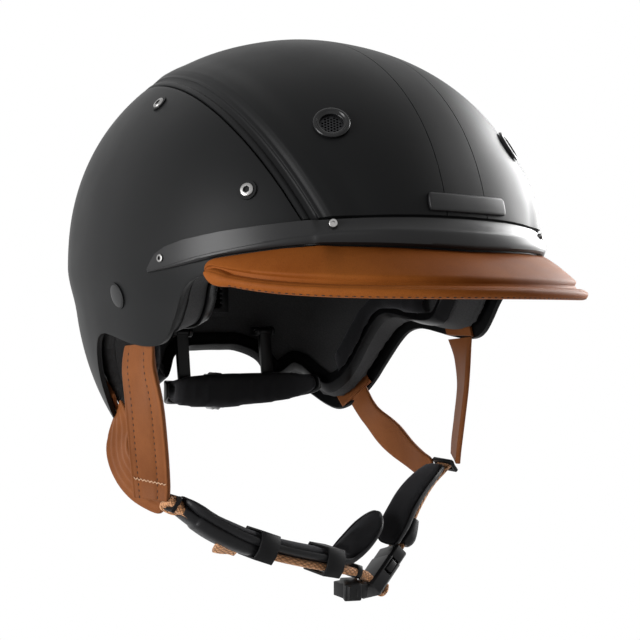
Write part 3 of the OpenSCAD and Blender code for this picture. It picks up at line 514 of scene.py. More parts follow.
def trim_mould(u, v):
    a = -TRIM_END + 2 * TRIM_END * u
    i = round(v * len(TRIM_FACETS)) % len(TRIM_FACETS)
    facet, share = TRIM_FACETS[i]
    top, crease, low = [heading(a, straight(tab, abs(a))) for tab in (TRIM_TOP, TRIM_CREASE, TRIM_LOW)]
    way = top + (crease - top) * share if facet == 0 else crease + (low - crease) * share
    side = between([(30.4, 0.0), (31.6, 1.0)], abs(a) + (0.9 * share if facet == 0 else 0))
    if i >= TRIM_OUTER:
        return on_shell(way, -0.8 + 1.1 * side)
    lip = (4.2 - abs(a) / 33) * (1 - side) + (2.6 - (abs(a) - 33) * 0.02) * side
    skim = 0.3 + 1.6 * side
    if facet == 0:
        out = skim + (lip - 0.25 - skim) * share ** 1.6
    else:
        out = straight([(0, lip - 0.25), (0.12, lip), (0.5, lip - 0.1), (0.85, lip - 0.7), (1, lip - 1.8)],
                       share)
    return on_shell(way, out)


trim_black = moulded("trim_black", (0.009, 0.009, 0.0095), 0.36, 0.5, 0.012, 0.24)
trim = pressed("brow_trim_moulding", 276, len(TRIM_FACETS), trim_mould)
smooth(eased(trim, 0.35, 40), 30)
finished(trim, trim_black, "trim", "helmet", "brow_trim")

# Peak
# A stiff board under smooth tan leather. The leather wraps the board's edge over a soft bead, is
# stitched along the bead's foot, and is folded and gathered at both ends where it meets the trim.
PEAK_HALF_W, PEAK_REACH, PEAK_MID, PEAK_FRONT_Z = 105.0, 104.0, 70.0, -17.2
PEAK_TOP, PEAK_END = 2.8, 84.0


def peak_place(turn, s, h, o=0.0):
    """Place on the peak: s from root to edge, h above its middle, o beyond its edge."""
    r = math.radians(turn)
    e = Vector((PEAK_HALF_W * math.sin(r), -PEAK_MID - PEAK_REACH * math.cos(r),
                PEAK_FRONT_Z + 12 * (1 - math.cos(r)) ** 2.6))
    a = math.degrees(math.atan2(e.x, -e.y))
    root = on_shell(heading(a, straight(TRIM_LOW, abs(a))), between([(26, -1.0), (30, 1.1)], abs(a)))
    root.z -= 3.2
    way = Vector((math.sin(r) / PEAK_HALF_W, -math.cos(r) / PEAK_REACH, 0)).normalized()
    return root + (e - root) * s + Vector((0, 0, h + 6 * s * (1 - s))) + way * o


# Rings of the peak's cross-section: the share from root to edge, the height and how far beyond the edge
PEAK_SECTION = ([(s, PEAK_TOP, 0) for s in (0, 0.02, 0.1, 0.2, 0.3, 0.4, 0.5, 0.6, 0.7, 0.8, 0.86)]
                + [(1, h, o) for h, o in ((2.8, -6), (2.75, -4.5), (2.62, -3), (2.42, -1.8), (2.15, -0.8),
                                          (1.88, -0.15), (1.62, 0.16), (1.46, 0.26), (1.38, 0.62), (1.15, 1.0),
                                          (0.75, 1.32), (0.2, 1.5), (-0.5, 1.48), (-1.2, 1.25), (-1.9, 0.8),
                                          (-2.45, 0.15), (-2.75, -0.6), (-2.85, -1.5), (-2.75, -2.3),
                                          (-1.9, -2.4), (-1.7, -1.0), (1.3, -1.0), (1.6, -4))]
                + [(s, 1.6, 0) for s in (0.8, 0.4, 0.02, 0)])


def peak_turn(u, end):
    """Angle round the peak at share u across it, closer together towards both ends."""
    x = 2 * u - 1
    return end * (1 - (1 - abs(x)) ** 1.35) * (-1 if x < 0 else 1)


def peak_mould(u, v):
    turn = peak_turn(u, PEAK_END)
    n = len(PEAK_SECTION)
    s, h, o = PEAK_SECTION[round(v * n) % n]
    # The folded end swells into a knob before it rounds off
    near_end = max(0.0, (abs(turn) - 75) / 9)
    swell = 0.4 * math.sin(math.pi * min(near_end, 1)) if s == 1 else 0
    close = math.sqrt(max(0.04, 1 - max(0.0, (near_end - 0.6) / 0.4) ** 2))
    return peak_place(turn, s, h * (1 + swell) * close, (o + 2 * swell) * close)


def leather(name, colour, deep, grain, depth, gloss, mottle=18.0, creases=0.0, shine=0.16):
    """Tanned leather: fine pebbled grain with darker pores, cloudy dye, and a soft shine."""
    m, t = new_material(name)
    place = node(t, "TexCoord")["Object"]
    warp = node(t, "TexNoise", {"Vector": place, "Scale": 700, "Detail": 3})["Color"]
    warped = node(t, "VectorMath", {0: warp, 1: (0.0006, 0.0006, 0.0006), 2: place},
                  operation="MULTIPLY_ADD")[0]
    pebble = node(t, "TexVoronoi", {"Vector": warped, "Scale": 1 / (grain * MM)},
                  feature="DISTANCE_TO_EDGE")["Distance"]
    cloud = noise(t, place, mottle, 6, 0.6)
    dye = blend(t, span(t, cloud, 0.3, 0.62), deep, colour)
    pores = span(t, pebble, 0, 0.12, 0.72)
    shade = node(t, "Mix", {"Factor": 0.6, "A": dye, "B": pores}, data_type="RGBA",
                 blend_type="MULTIPLY")["Result"]
    pebbled = bumped(t, maths(t, "SMOOTH_MIN", pebble, 0.14, 0.1), depth * 8, 0.55)
    folds = noise(t, place, 60 + 60 * creases, 5)
    return dressed(m, {"Base Color": shade, "Roughness": span(t, cloud, 0, 1, gloss - 0.06, gloss + 0.12),
                       "Specular IOR Level": shine,
                       "Normal": bumped(t, folds, 0.5, 0.5, {"Normal": pebbled})})


peak_hide = leather("peak_hide", (0.27, 0.080, 0.014), (0.18, 0.045, 0.006), 0.8, 0.03, 0.55, shine=0.07)
peak = pressed("peak_cover", 240, len(PEAK_SECTION), peak_mould)
add(peak, "SUBSURF", levels=1, render_levels=1)
smooth(peak, 60)
finished(peak, peak_hide, "peak_leather", "helmet", "peak_leather", "peak_board")

lining_hide = leather("lining_hide", (0.25, 0.09, 0.03), (0.2, 0.07, 0.022), 0.7, 0.02, 0.6)
LINING = [(s, -1.62, o) for s, o in ((0, 0), (0.25, 0), (0.5, 0), (0.75, 0), (1, -1.2))] + [
    (s, -2.5, o) for s, o in ((1, -1.4), (0.75, 0), (0.5, 0), (0.25, 0), (0, 0))]
LINING_END = 78


def lining_mould(u, v):
    s, h, o = LINING[round(v * len(LINING)) % len(LINING)]
    return peak_place(peak_turn(u, LINING_END), s, h, o - 1.3 * (s == 1))


lining = pressed("peak_underside", 160, len(LINING), lining_mould)
smooth(eased(lining, 0.2, 40), 40)
finished(lining, lining_hide, "peak_lining", "helmet", "peak_lining")


def thread(name, colour, dark):
    """Twisted sewing thread."""
    m, t = new_material(name)
    twist = node(t, "TexWave", {"Vector": node(t, "TexCoord")["Object"], "Scale": 900},
                 bands_direction="DIAGONAL")["Fac"]
    return dressed(m, {"Base Color": blend(t, twist, dark, colour), "Roughness": 0.75,
                       "Specular IOR Level": 0.3, "Normal": bumped(t, twist, 0.05)})


def joined(name, pieces):
    alone(pieces[0])
    for p in pieces:
        p.select_set(True)
    bpy.ops.object.join()
    piece = bpy.context.object
    piece.name = piece.data.name = name
    return piece


def stitches(name, ends, thick):
    """One thread piece made of short rounded stitches, each between two places in millimetres."""
    bpy.ops.object.select_all(action="DESELECT")
    bpy.ops.mesh.primitive_uv_sphere_add(segments=6, ring_count=4, radius=0.5)
    one = bpy.context.object
    made = []
    for a, b, n in ends:
        along = (b - a).normalized()
        across = along.cross(n).normalized()
        up = across.cross(along)
        shape = Matrix((across * thick, along * (b - a).length, up * thick * 0.7)).transposed().to_4x4()
        stitch = twin(one)
        stitch.data.transform(Matrix.Translation((a + b) / 2 * MM) @ (Matrix.Scale(MM, 4) @ shape))
        made.append(stitch)
    bpy.data.objects.remove(one)
    return smooth(edited(joined(name, made), FACE_OUT), 80)


dark_thread = thread("dark_thread", (0.035, 0.016, 0.010), (0.012, 0.006, 0.005))
pale_thread = thread("pale_thread", (0.62, 0.40, 0.26), (0.34, 0.19, 0.11))
PEAK_STITCH_HIGH, PEAK_STITCH_OUT, PEAK_STITCH_GAP = -2.2, 0.5, 1.75
peak_stitches = []
for i in range(92):
    turn = -80 + i * PEAK_STITCH_GAP
    a, b = [peak_place(at, 1, PEAK_STITCH_HIGH, PEAK_STITCH_OUT) for at in (turn, turn + 0.9)]
    peak_stitches.append((a, b, Vector((math.sin(math.radians(turn)), -math.cos(math.radians(turn)), -0.3))))
finished(stitches("peak_seam", peak_stitches, 0.55), dark_thread, "peak_leather", "helmet")

# Badge plate
# A low rounded bar of satin plastic, stuck on the brow above the trim. It is left bare.
PLATE_HALF, PLATE_MID, PLATE_HIGH, PLATE_T = 9.9, 9.7, 1.75, 1.3
PLATE_TURN = 0.6
PLATE_SECTION = [(-1, 0), (-1, 0.3), (-0.98, 0.55), (-0.93, 0.76), (-0.84, 0.92), (-0.7, 1), (0.7, 1),
                 (0.84, 0.92), (0.93, 0.76), (0.98, 0.55), (1, 0.3), (1, 0)]


def plate_mould(u, v):
    x = math.sin(math.pi * (u - 0.5))
    c, up = PLATE_SECTION[round(v * len(PLATE_SECTION)) % len(PLATE_SECTION)]
    end = max(0.0, (abs(x) - 0.94) / 0.06)
    round_end = math.sqrt(max(0.02, 1 - end * end))
    up = up * (1 if end < 0.7 else math.sqrt(max(0.0, 1 - ((end - 0.7) / 0.3) ** 2)))
    way = heading(PLATE_TURN + x * PLATE_HALF, PLATE_MID + c * PLATE_HIGH * round_end)
    return on_shell(way, 0.3 + PLATE_T * up)


plate = smooth(pressed("brow_plate", 96, len(PLATE_SECTION), plate_mould), 50)
finished(plate, trim_black, "trim", "helmet", "badge_plate")

# Front vents
# Two turned plastic rings pressed into the crown, each with a fine wire mesh behind its mouth.


def turned(name, profile, steps):
    """A turned shape from its half profile of (radius, height) in millimetres, about the Z axis."""
    rows = len(profile) - (profile[0][0] == 0)

    def lathe(u, v):
        r, h = profile[round(v * rows) % len(profile)]
        a = 2 * math.pi * u
        return r * math.cos(a), r * math.sin(a), h

    return pressed(name, steps, rows, lathe)


def on_panels(name, one, spots):
    """Copies of a small part at these places of the right half and, mirrored, of the left half.
    Each spot is its place in the side view and how far it stands off the shell."""
    made = []
    for y, z, off in spots:
        way = side_way(y, z)
        n = outward(way)
        near = twin(one)
        near.data.transform(Matrix.Translation((on_shell(way) + n * off) * MM)
                            @ n.to_track_quat("Z", "Y").to_matrix().to_4x4())
        made += [near, other_side(near, name)]
    bpy.data.objects.remove(one)
    return joined(name, made)


VENT_PROFILE = [(5.3, -3.2), (6.7, -3.2), (6.7, -0.1), (8.42, -0.05), (8.5, 0.25), (8.4, 0.7), (8.05, 1.1),
                (7.5, 1.3), (7.0, 1.28), (6.75, 1.1), (6.5, 0.65), (6.1, 0.5), (5.6, 0.42), (5.36, 0.2),
                (5.3, -0.2)]
ring_black = moulded("ring_black", (0.006, 0.006, 0.0065), 0.25, 0.5, 0.008, 0.25)
vents = on_panels("vent_mouths", turned("vent_mouth", VENT_PROFILE, 72), [(*VENT, 0.4)])
finished(smooth(vents, 45), ring_black, "trim", "helmet", "vent_rings")


def brushed_metal(name, colour, roughness):
    """Bare metal with fine working marks and a little tarnish."""
    m, t = new_material(name)
    marks = noise(t, node(t, "TexCoord")["Object"], 900, 4)
    return dressed(m, {"Base Color": blend(t, marks, times(colour, 0.8), colour), "Metallic": 1.0,
                       "Roughness": span(t, marks, 0, 1, roughness * 0.7, roughness * 1.3),
                       "Normal": bumped(t, marks, 0.02, 0.3)})


def keeps(name, material):
    """A CAD solid that shows as it is, in its real finish."""
    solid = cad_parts[name]
    solid.data.materials.clear()
    solid.data.materials.append(material)


mesh_metal = brushed_metal("mesh_metal", (0.035, 0.035, 0.037), 0.5)
keeps("vent_meshes", mesh_metal)

# Screws and side studs
# Stainless socket screws, with a rounded head and a hexagon socket, hold the side panels and the
# trim. A low plastic stud with a ring round its cap holds each front strap's root.
stainless = brushed_metal("stainless", (0.3, 0.295, 0.29), 0.28)


def socket_screw(head, height, socket):
    """A socket screw with its head above the origin, by its head's radius and its socket's."""
    screw = turned("screw", [(0, -8), (1.4, -8), (1.4, 0), (head, 0), (head, height * 0.5),
                             (head * 0.97, height * 0.75), (head * 0.9, height * 0.93), (head * 0.8, height),
                             (0, height)], 40)
    bpy.ops.object.select_all(action="DESELECT")
    bpy.ops.mesh.primitive_cylinder_add(vertices=6, radius=socket * MM, depth=2.2 * MM,
                                        location=(0, 0, (height + 0.15) * MM))
    key = bpy.context.object
    add(screw, "BOOLEAN", object=key, operation="DIFFERENCE", solver="EXACT")
    bpy.data.objects.remove(key)
    return smooth(screw, 35)


screws = on_panels("panel_screws_steel", socket_screw(3.2, 1.5, 1.7), [(*at, 0.05) for at in PANEL_SCREWS])
finished(screws, stainless, "steel", "helmet", "panel_screws")
TRIM_SCREWS = [(-53.6, -0.8, 2.05), (-122, 12.4, 2.3)]
small_screws = on_panels("trim_screws_steel", socket_screw(1.9, 0.6, 1.0), TRIM_SCREWS)
finished(small_screws, stainless, "steel", "helmet", "trim_screws")
STUD_PROFILE = [(0, -8), (1.5, -8), (1.5, -0.4), (6.0, -0.4), (6.1, 0.0), (6.0, 0.45), (5.7, 0.7), (5.3, 0.8),
                (4, 0.95), (2, 1.05), (0, 1.1)]
studs = on_panels("strap_studs", turned("stud", STUD_PROFILE, 64), [(*STUD, 0.0)])
finished(smooth(studs, 50), trim_black, "shell", "helmet", "side_studs")

# Foam liner
# The crushable liner: one block of black bead foam between the shell and the head, with slots for
# the strap roots. A glossy plastic rim is pressed over its lower edge.


def copied(name, copy_name):
    """A copy of a CAD solid with its loose triangles merged, to work on."""
    piece = bpy.data.objects.new(copy_name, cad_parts[name].data.copy())
    bpy.context.scene.collection.objects.link(piece)
    piece.data.name = copy_name
    return edited(piece, MERGE, FACE_OUT)


def bead_foam(name, colour, bead):
    """Moulded bead foam: flattened beads with thin dark lines between them."""
    m, t = new_material(name)
    beads = node(t, "TexVoronoi", {"Vector": node(t, "TexCoord")["Object"], "Scale": 1 / (bead * MM)},
                 feature="DISTANCE_TO_EDGE")["Distance"]
    rim = span(t, beads, 0, 0.15)
    return dressed(m, {"Base Color": blend(t, rim, times(colour, 0.8), colour), "Roughness": 0.75,
                       "Specular IOR Level": 0.25, "Normal": bumped(t, rim, 0.15, 0.4)})


liner_foam = bead_foam("liner_foam", (0.032, 0.032, 0.033), 1.9)
liner = copied("foam_liner", "liner_block")
add(liner, "REMESH", mode="VOXEL", voxel_size=2.6 * MM)
add(liner, "SMOOTH", factor=0.5, iterations=3)
finished(smooth(liner, 50), liner_foam, "foam", "helmet", "foam_liner")

RIM_WAYS = ([band_way(FLANGE_START + 0.2, -a) for a in (5, 12, 19, 26)]
            + [side_way(y, z) for y, z in EAR_EDGE] + [band_way(CROWN_END, -a) for a in (12, 5)])
RIM_RING = RIM_WAYS + [Vector((-w.x, w.y, w.z)) for w in reversed(RIM_WAYS)]
RIM_LIFT, RIM_UP, RIM_WALL = 3.6, 6.4, 1.5


def ring_way(t):
    """Direction of the shell's lower edge, once round from the brow over the right ear."""
    n = len(RIM_RING)
    x = (t % 1.0) * n
    i = int(x)
    return Vector(run([RIM_RING[(i + k) % n] for k in (-1, 0, 1, 2)], (1 + x - i) / 3)).normalized()


def up_from(place_at, t, s):
    """Direction of the place s millimetres up from an edge whose place at share t is given."""
    p = place_at(t)
    along = (place_at(t + 0.004) - place_at(t - 0.004)).normalized()
    return (p + along.cross(p.normalized()).normalized() * s).normalized()


def inset(t, s):
    """Direction of the place s millimetres up inside the shell from its lower edge."""
    return up_from(lambda at: on_shell(ring_way(at)), t, s)


def low_way(t):
    """Direction of the liner's inner lower edge, which at the rear follows the shell's edge beside it."""
    way = inset(t, RIM_LIFT)
    p, q = on_shell(ring_way(t)), on_head(way)
    share = between([(92, 0), (118, 1)], p.y)
    if share == 0:
        return way
    arch = 7 * (min(abs(q.x), 40) / 40) ** 2
    z = q.z + share * (p.z + 4.2 - arch - q.z)
    d = Vector((q.x, q.y, z))
    for _ in range(8):
        r = on_head(d).z / z
        d = Vector((d.x * r, d.y * r, z))
    return d.normalized()


def lifted(t, s):
    """Direction of the place s millimetres up the liner's inner wall from its lower edge."""
    return up_from(lambda at: on_head(low_way(at)), t, s)


def skirt_mould(u, v):
    i = round(v * 6) % 6
    if i == 0:
        return on_head(inset(u, RIM_LIFT + 4), -0.3)
    if i in (1, 2):
        return on_head(lifted(u, 0.2), (-0.3, 8)[i - 1])
    if i < 5:
        return on_shell(inset(u, RIM_LIFT + (-0.3, 4)[i - 3]), -11.5)
    return on_head(inset(u, RIM_LIFT + 4), 8)


skirt = smooth(pressed("liner_lower_edge", 300, 6, skirt_mould), 30)
finished(skirt, liner_foam, "foam", "helmet")

RIM_SECTION = [(0, 6), (0, -0.6), (RIM_UP, -0.6), (RIM_UP, -2.0), (2.5, -2.1), (0, -2.4), (-1.1, -2.8),
               (-RIM_WALL, -2.2), (-RIM_WALL, 5.4), (-1.0, 6)]


def rim_mould(u, v):
    s, out = RIM_SECTION[round(v * len(RIM_SECTION)) % len(RIM_SECTION)]
    if s == RIM_UP:
        s *= between([(20, 0.45), (80, 1)], on_shell(ring_way(u)).y)
    return on_head(lifted(u, s), out)


gloss_black = moulded("gloss_black", (0.005, 0.005, 0.0055), 0.28, 1.2, 0.01, 0.07)
rim = pressed("liner_edge", 420, len(RIM_SECTION), rim_mould)
finished(smooth(eased(rim, 0.45, 50), 40), gloss_black, "trim", "helmet", "liner_rim")

# Comfort pads
# Thin foam pads in brushed black cloth, held on the liner by hook tape: one across the brow, one in
# the crown and one above each ear.


def brushed_cloth(name, colour):
    """Short brushed pile: a soft, slightly streaky nap with a faint sheen."""
    m, t = new_material(name)
    place = node(t, "TexCoord")["Object"]
    nap = noise(t, place, 1 / (0.35 * MM), 4)
    streaks = maths(t, "MULTIPLY", nap, noise(t, place, 90, 5))
    return dressed(m, {"Base Color": blend(t, streaks, times(colour, 0.5), times(colour, 2.2)),
                       "Roughness": 0.95, "Specular IOR Level": 0.12, "Sheen Weight": 0.5,
                       "Sheen Roughness": 0.5,
                       "Sheen Tint": (0.25, 0.25, 0.27, 1), "Normal": bumped(t, nap, 0.25, 0.7)})


def puffed(piece, grain=2.4, cap=1.2, shrink=0.7):
    """Blows a slightly smaller pad up as cloth, so that its faces crown between pulled-in edges."""
    add(piece, "REMESH", mode="VOXEL", voxel_size=grain * MM)
    add(piece, "SMOOTH", factor=0.5, iterations=2)
    add(piece, "DISPLACE", strength=-shrink * MM, mid_level=0.0)
    start = [v.co.copy() for v in piece.data.vertices]
    alone(piece)
    cloth = piece.modifiers.new("puff", "CLOTH")
    cloth.settings.quality = 4
    cloth.settings.mass = 0.02
    cloth.settings.use_pressure = True
    cloth.settings.uniform_pressure_force = 4
    cloth.settings.effector_weights.gravity = 0
    cloth.collision_settings.use_collision = False
    for step in range(1, 21):
        bpy.context.scene.frame_set(step)
    bpy.ops.object.modifier_apply(modifier="puff")
    bpy.context.scene.frame_set(1)
    for v, was in zip(piece.data.vertices, start):
        move = v.co - was
        if move.length > cap * MM:
            v.co = was + move.normalized() * cap * MM
    add(piece, "SUBSURF", levels=1, render_levels=1)
    smooth(piece, 60)
    return piece


pad_cloth = brushed_cloth("pad_cloth", (0.010, 0.010, 0.011))
for name, cushion in (("brow_pad", "brow_cushion"), ("crown_pad", "crown_cushion"),
                      ("side_pad_right", "side_cushion_right"), ("side_pad_left", "side_cushion_left")):
    finished(puffed(copied(name, cushion)), pad_cloth, "padding", "helmet", name)

# Fit cradle
# A nape band on two hinged struts hangs from brackets on the liner's rim, with a guide on the back
# of the liner. The band, struts and guide are moulded plastic, and the pivot pins are steel.


def softened(name, copy_name, width, turn=40):
    """A copy of a CAD solid with its faces made whole and its edges rounded off."""
    piece = copied(name, copy_name)
    edited(piece, (bpy.ops.mesh.dissolve_limited, {"angle_limit": math.radians(4)}))
    add(eased(piece, width, turn), "TRIANGULATE")
    return smooth(piece, 35)


def fitting(name, copy_name, width, material, slot, body, turn=40):
    """A moulded part that shows as its CAD solid with its edges rounded off."""
    finished(softened(name, copy_name, width, turn), material, slot, body, name)


fitting_black = moulded("fitting_black", (0.006, 0.006, 0.0065), 0.35, 0.4, 0.015, 0.12)
fitting("height_guide", "height_slide", 0.4, fitting_black, "fittings", "helmet")
fitting("cradle_brackets", "strut_brackets", 0.35, fitting_black, "fittings", "helmet")
fitting("cradle_struts", "nape_struts", 0.5, fitting_black, "fittings", "cradle")
keeps("cradle_pins", stainless)


def strap_frame(stops, t):
    """Where a strap's middle is at share t of its stops, its three directions, width and thickness.
    A stop is a place, a facing where the strap has one, a width and a thickness."""
    a, b, now = run(stops, t - 0.004), run(stops, t + 0.004), run(stops, t)
    along = (Vector(b[:3]) - Vector(a[:3])).normalized()
    if len(now) == 8:
        side = along.cross(Vector(now[3:6])).normalized()
        up = side.cross(along)
    else:
        side = (Vector((0, 1, 0)) - along * along.y).normalized()
        up = along.cross(side)
    return Vector(now[:3]), along, side, up, now[-2], now[-1]


def strap_place(stops, t, c, k):
    """Place on a strap, c widths to its side and k thicknesses out from its middle."""
    p, along, side, up, w, h = strap_frame(stops, t)
    return p + side * c * w + up * k * h


def ribbon(name, stops, section, cols, shape=None, stand=0.0):
    """A strap of this cross-section, in widths and thicknesses, along its stops. shape gives the
    width and thickness as shares at each share of the length, and stand how far it stands off."""
    def lay(u, v):
        c, k = section[round(v * len(section)) % len(section)]
        p, along, side, up, w, h = strap_frame(stops, u)
        wide, thick = shape(u) if shape else (1, 1)
        return p + side * c * w * wide + up * (k * h * thick + stand)
    return pressed(name, cols, len(section), lay)


def even(stops, gap, first, last, c):
    """Shares of a strap's length that lie this many millimetres apart, c widths to its side."""
    shares, t, was = [], first, strap_place(stops, first, c, 0)
    left = gap
    while t < last:
        t += 0.001
        now = strap_place(stops, min(t, last), c, 0)
        left -= (now - was).length
        was = now
        if left <= 0:
            shares.append(t)
            left += gap
    return shares


BAND_PATH = [(-54, 50), (-52, 57), (-46, 65.5), (-36, 72), (-19, 76.5), (0, 78), (19, 76.5), (36, 72),
             (46, 65.5), (52, 57), (54, 50)]
BAND_TOP, BAND_WIDE = -68.0, 14.0
BAND_MID = BAND_TOP - BAND_WIDE / 2
NAPE_RISE = [4.5, 3.5, 2, 1, 0.3, 0, 0.3, 1, 2, 3.5, 4.5]
# Cross-sections, as places in widths and thicknesses
SOFT_BAR = [(-0.5, -0.1), (-0.5, 0.15), (-0.485, 0.36), (-0.45, 0.48), (-0.4, 0.5), (0.4, 0.5),
            (0.45, 0.48), (0.485, 0.36), (0.5, 0.15), (0.5, -0.15), (0.485, -0.36), (0.45, -0.48),
            (0.4, -0.5), (-0.4, -0.5), (-0.45, -0.48), (-0.485, -0.36)]
CUSHION = [(-0.5, 0.0), (-0.49, 0.22), (-0.455, 0.42), (-0.4, 0.5), (-0.25, 0.53), (0, 0.54),
           (0.25, 0.53), (0.4, 0.5), (0.455, 0.42), (0.49, 0.22), (0.5, 0.0), (0.49, -0.22),
           (0.455, -0.42), (0.4, -0.5), (0.2, -0.5), (-0.2, -0.5), (-0.4, -0.5), (-0.455, -0.42),
           (-0.49, -0.22)]


def nape_stops(off, widths, thick, rise=0.0):
    """Stops of a bar along the nape band, this far behind its line and above it."""
    stops = []
    for i, (x, y) in enumerate(BAND_PATH):
        a, b = BAND_PATH[max(i - 1, 0)], BAND_PATH[min(i + 1, len(BAND_PATH) - 1)]
        way = Vector((a[1] - b[1], b[0] - a[0], 0)).normalized()
        p = Vector((x, y, BAND_MID + NAPE_RISE[i])) + way * off
        stops.append((p.x, p.y, p.z + rise, *way, widths[i], thick))
    return stops


def round_ends(reach, least=0.3):
    """Shape of a strap whose ends round off over this share of its length."""
    def shape(u):
        near = min(u, 1 - u) / reach
        full = math.sqrt(max(0.0, 1 - (1 - min(near, 1)) ** 2))
        return least + (1 - least) * full, 0.35 + 0.65 * full
    return shape


bar_stops = nape_stops(0, [BAND_WIDE] * len(BAND_PATH), 2.2)
nape_band = smooth(ribbon("nape_band", bar_stops, SOFT_BAR, 120, round_ends(0.25, 0.3)), 50)
finished(nape_band, fitting_black, "fittings", "cradle", "cradle_band")
# The cushion is fullest at the nape, where it hides the dial's case
NAPE_WIDE = [8, 11, 15, 19, 22.5, 24, 22.5, 20.5, 17.5, 13.5, 9.5]
full_stops = nape_stops(-4.2, NAPE_WIDE, 5.4, 0.6)
nape_cushion = puffed(ribbon("nape_cushion", full_stops, CUSHION, 120, round_ends(0.12)), 2.0)
finished(nape_cushion, pad_cloth, "padding", "cradle", "cradle_pad")

# Fit dial
# A ribbed grey wheel on a housing at the nape. Its steel gear draws the two band ends together.
dial_grey = moulded("dial_grey", (0.36, 0.36, 0.365), 0.42, 0.4, 0.02, 0.5)
case = softened("dial_housing", "dial_case", 0.9)
# The case is shrunk towards the band's middle, so that it stays behind the cushion
for v in case.data.vertices:
    v.co.z = BAND_MID * MM * 0.3 + v.co.z * 0.7
    v.co.x *= 0.8
finished(case, fitting_black, "fittings", "cradle", "dial_housing")
fitting("dial_knob", "dial_wheel", 0.35, dial_grey, "dial", "dial", 50)
keeps("dial_gear", stainless)

# Leather straps
# Two layers of tan leather with rolled edges, stitched in two rows. They start between shell and
# liner, where the side stud and the rear pocket hold them, and end at the junction below the ear.
strap_hide = leather("strap_hide", (0.205, 0.070, 0.022), (0.148, 0.047, 0.0135), 0.7, 0.018, 0.5, 24, 0.4,
                     0.09)
# Middle of the roots between shell and liner, as its offset from the shell
STRAP_MID = -4.35
# Stops of the straps: place, facing, width and thickness
FRONT_STOPS = [(*on_shell(side_way(-16, -43), STRAP_MID), -1, -0.12, -0.1, 25, 1.8),
               (-104.4, -16.6, -54, -1, -0.28, -0.1, 23.6, 3), (-103.4, -20.6, -72, -1, -0.45, -0.13, 23.2, 3),
               (-99.8, -17.6, -94, -1, -0.5, -0.15, 23.2, 3), (-96.7, -14, -110, -1, -0.5, -0.1, 22.6, 3),
               (-96.1, -13.4, -119, -1, -0.5, -0.05, 21, 3)]
FRONT_LEFT_STOPS = [(*on_shell(side_way(-27, -43), STRAP_MID), -1, -0.2, -0.1, 25, 1.8),
                    (-103.8, -27.3, -54, -1, -0.5, -0.1, 25, 3), (-103, -28.4, -70, -1, -0.65, -0.1, 25, 3),
                    (-101.5, -27, -90, -1, -0.68, -0.1, 25, 3), (-101, -25, -105, -1, -0.68, -0.1, 24, 3),
                    (-101.5, -23.5, -114.5, -1, -0.68, -0.05, 21, 3)]
REAR_STOPS = [(-84.6, 50.4, -79, -0.9, 0.0, -0.28, 17, 1.8), (-87.2, 43, -90, -1, -0.4, -0.2, 22.5, 3),
              (-91.2, 34.4, -99.6, -1, -0.4, -0.12, 24, 3), (-93.8, 23, -107.6, -1, -0.3, -0.1, 22, 3),
              (-93.6, 8.5, -114.8, -1, -0.3, 0, 18, 3), (-91.2, -5, -119, -1, -0.4, 0, 16, 3),
              (-90.4, -15.5, -120.8, -1, -0.5, 0, 13, 2.6)]
SEAM_REAR, SEAM_FRONT = 0.32, -0.2
INSIDE = [(0.497, -0.28), (0.48, -0.44), (0.44, -0.5), (0.36, -0.46), (0.1, -0.44), (-0.1, -0.44),
          (-0.36, -0.46), (-0.44, -0.5), (-0.48, -0.44), (-0.497, -0.28)]
FRONT_SECTION = [(-0.5, 0.0), (-0.498, 0.22), (-0.488, 0.4), (-0.47, 0.49), (-0.45, 0.47), (-0.435, 0.38),
                 (-0.42, 0.33), (-0.38, 0.38), (-0.3, 0.42), (-0.24, 0.38), (-0.215, 0.3), (SEAM_FRONT, 0.27),
                 (-0.185, 0.3), (-0.16, 0.38), (-0.08, 0.43), (0.06, 0.45), (0.2, 0.43), (0.28, 0.38),
                 (0.305, 0.3), (SEAM_REAR, 0.27), (0.335, 0.3), (0.36, 0.36), (0.41, 0.36), (0.435, 0.38),
                 (0.45, 0.46), (0.47, 0.5), (0.488, 0.42), (0.498, 0.22), (0.5, 0.0)] + INSIDE
REAR_SECTION = [(-0.5, 0.0), (-0.495, 0.25), (-0.47, 0.42)] + [
    (-0.45 + 0.9 * i / 24, 0.40 + 0.09 * math.cos(2 * math.pi * 4 * i / 24)) for i in range(25)] + [
    (0.47, 0.42), (0.495, 0.25), (0.5, 0.0)] + INSIDE
STITCH_GAP, SEAM_HIGH, TACK_HIGH = 3.2, 0.28, 0.47


def sewn_row(stops, c):
    """Ends of the stitches of a seam along a strap, c widths to its side."""
    row = []
    for t in even(stops, STITCH_GAP, 0.02, 0.985, c):
        a, b = strap_place(stops, t, c, SEAM_HIGH), strap_place(stops, min(t + 0.01, 1), c, SEAM_HIGH)
        row.append((a, a + (b - a).normalized() * STITCH_GAP * 0.5, strap_frame(stops, t)[3]))
    return row


def squared_end(u):
    near = max(0.0, (u - 0.985) / 0.015)
    return 1 - 0.06 * near ** 2, 1 - 0.45 * near ** 2


def narrow_tip(u):
    near = max(0.0, (u - 0.9) / 0.1)
    return 1 - 0.5 * near ** 3, 1 - 0.45 * near ** 3


def bar_tack(stops, t=0.79, c0=-0.46, c1=0.4, count=9):
    """A zigzag row of stitches across a strap."""
    def at(along, c):
        return strap_place(stops, t + along, c, TACK_HIGH)
    wide = (c1 - c0) / count
    up = strap_frame(stops, t)[3]
    made = []
    for c in [c0 + (c1 - c0) * i / count for i in range(count)]:
        made += [(at(-0.011, c), at(0.012, c + wide * 0.9), up),
                 (at(0.011, c + wide * 0.5), at(-0.012, c + wide * 1.3), up)]
    return made


def mirrored(stitch_ends):
    return [tuple(Vector((-v.x, v.y, v.z)) for v in ends) for ends in stitch_ends]


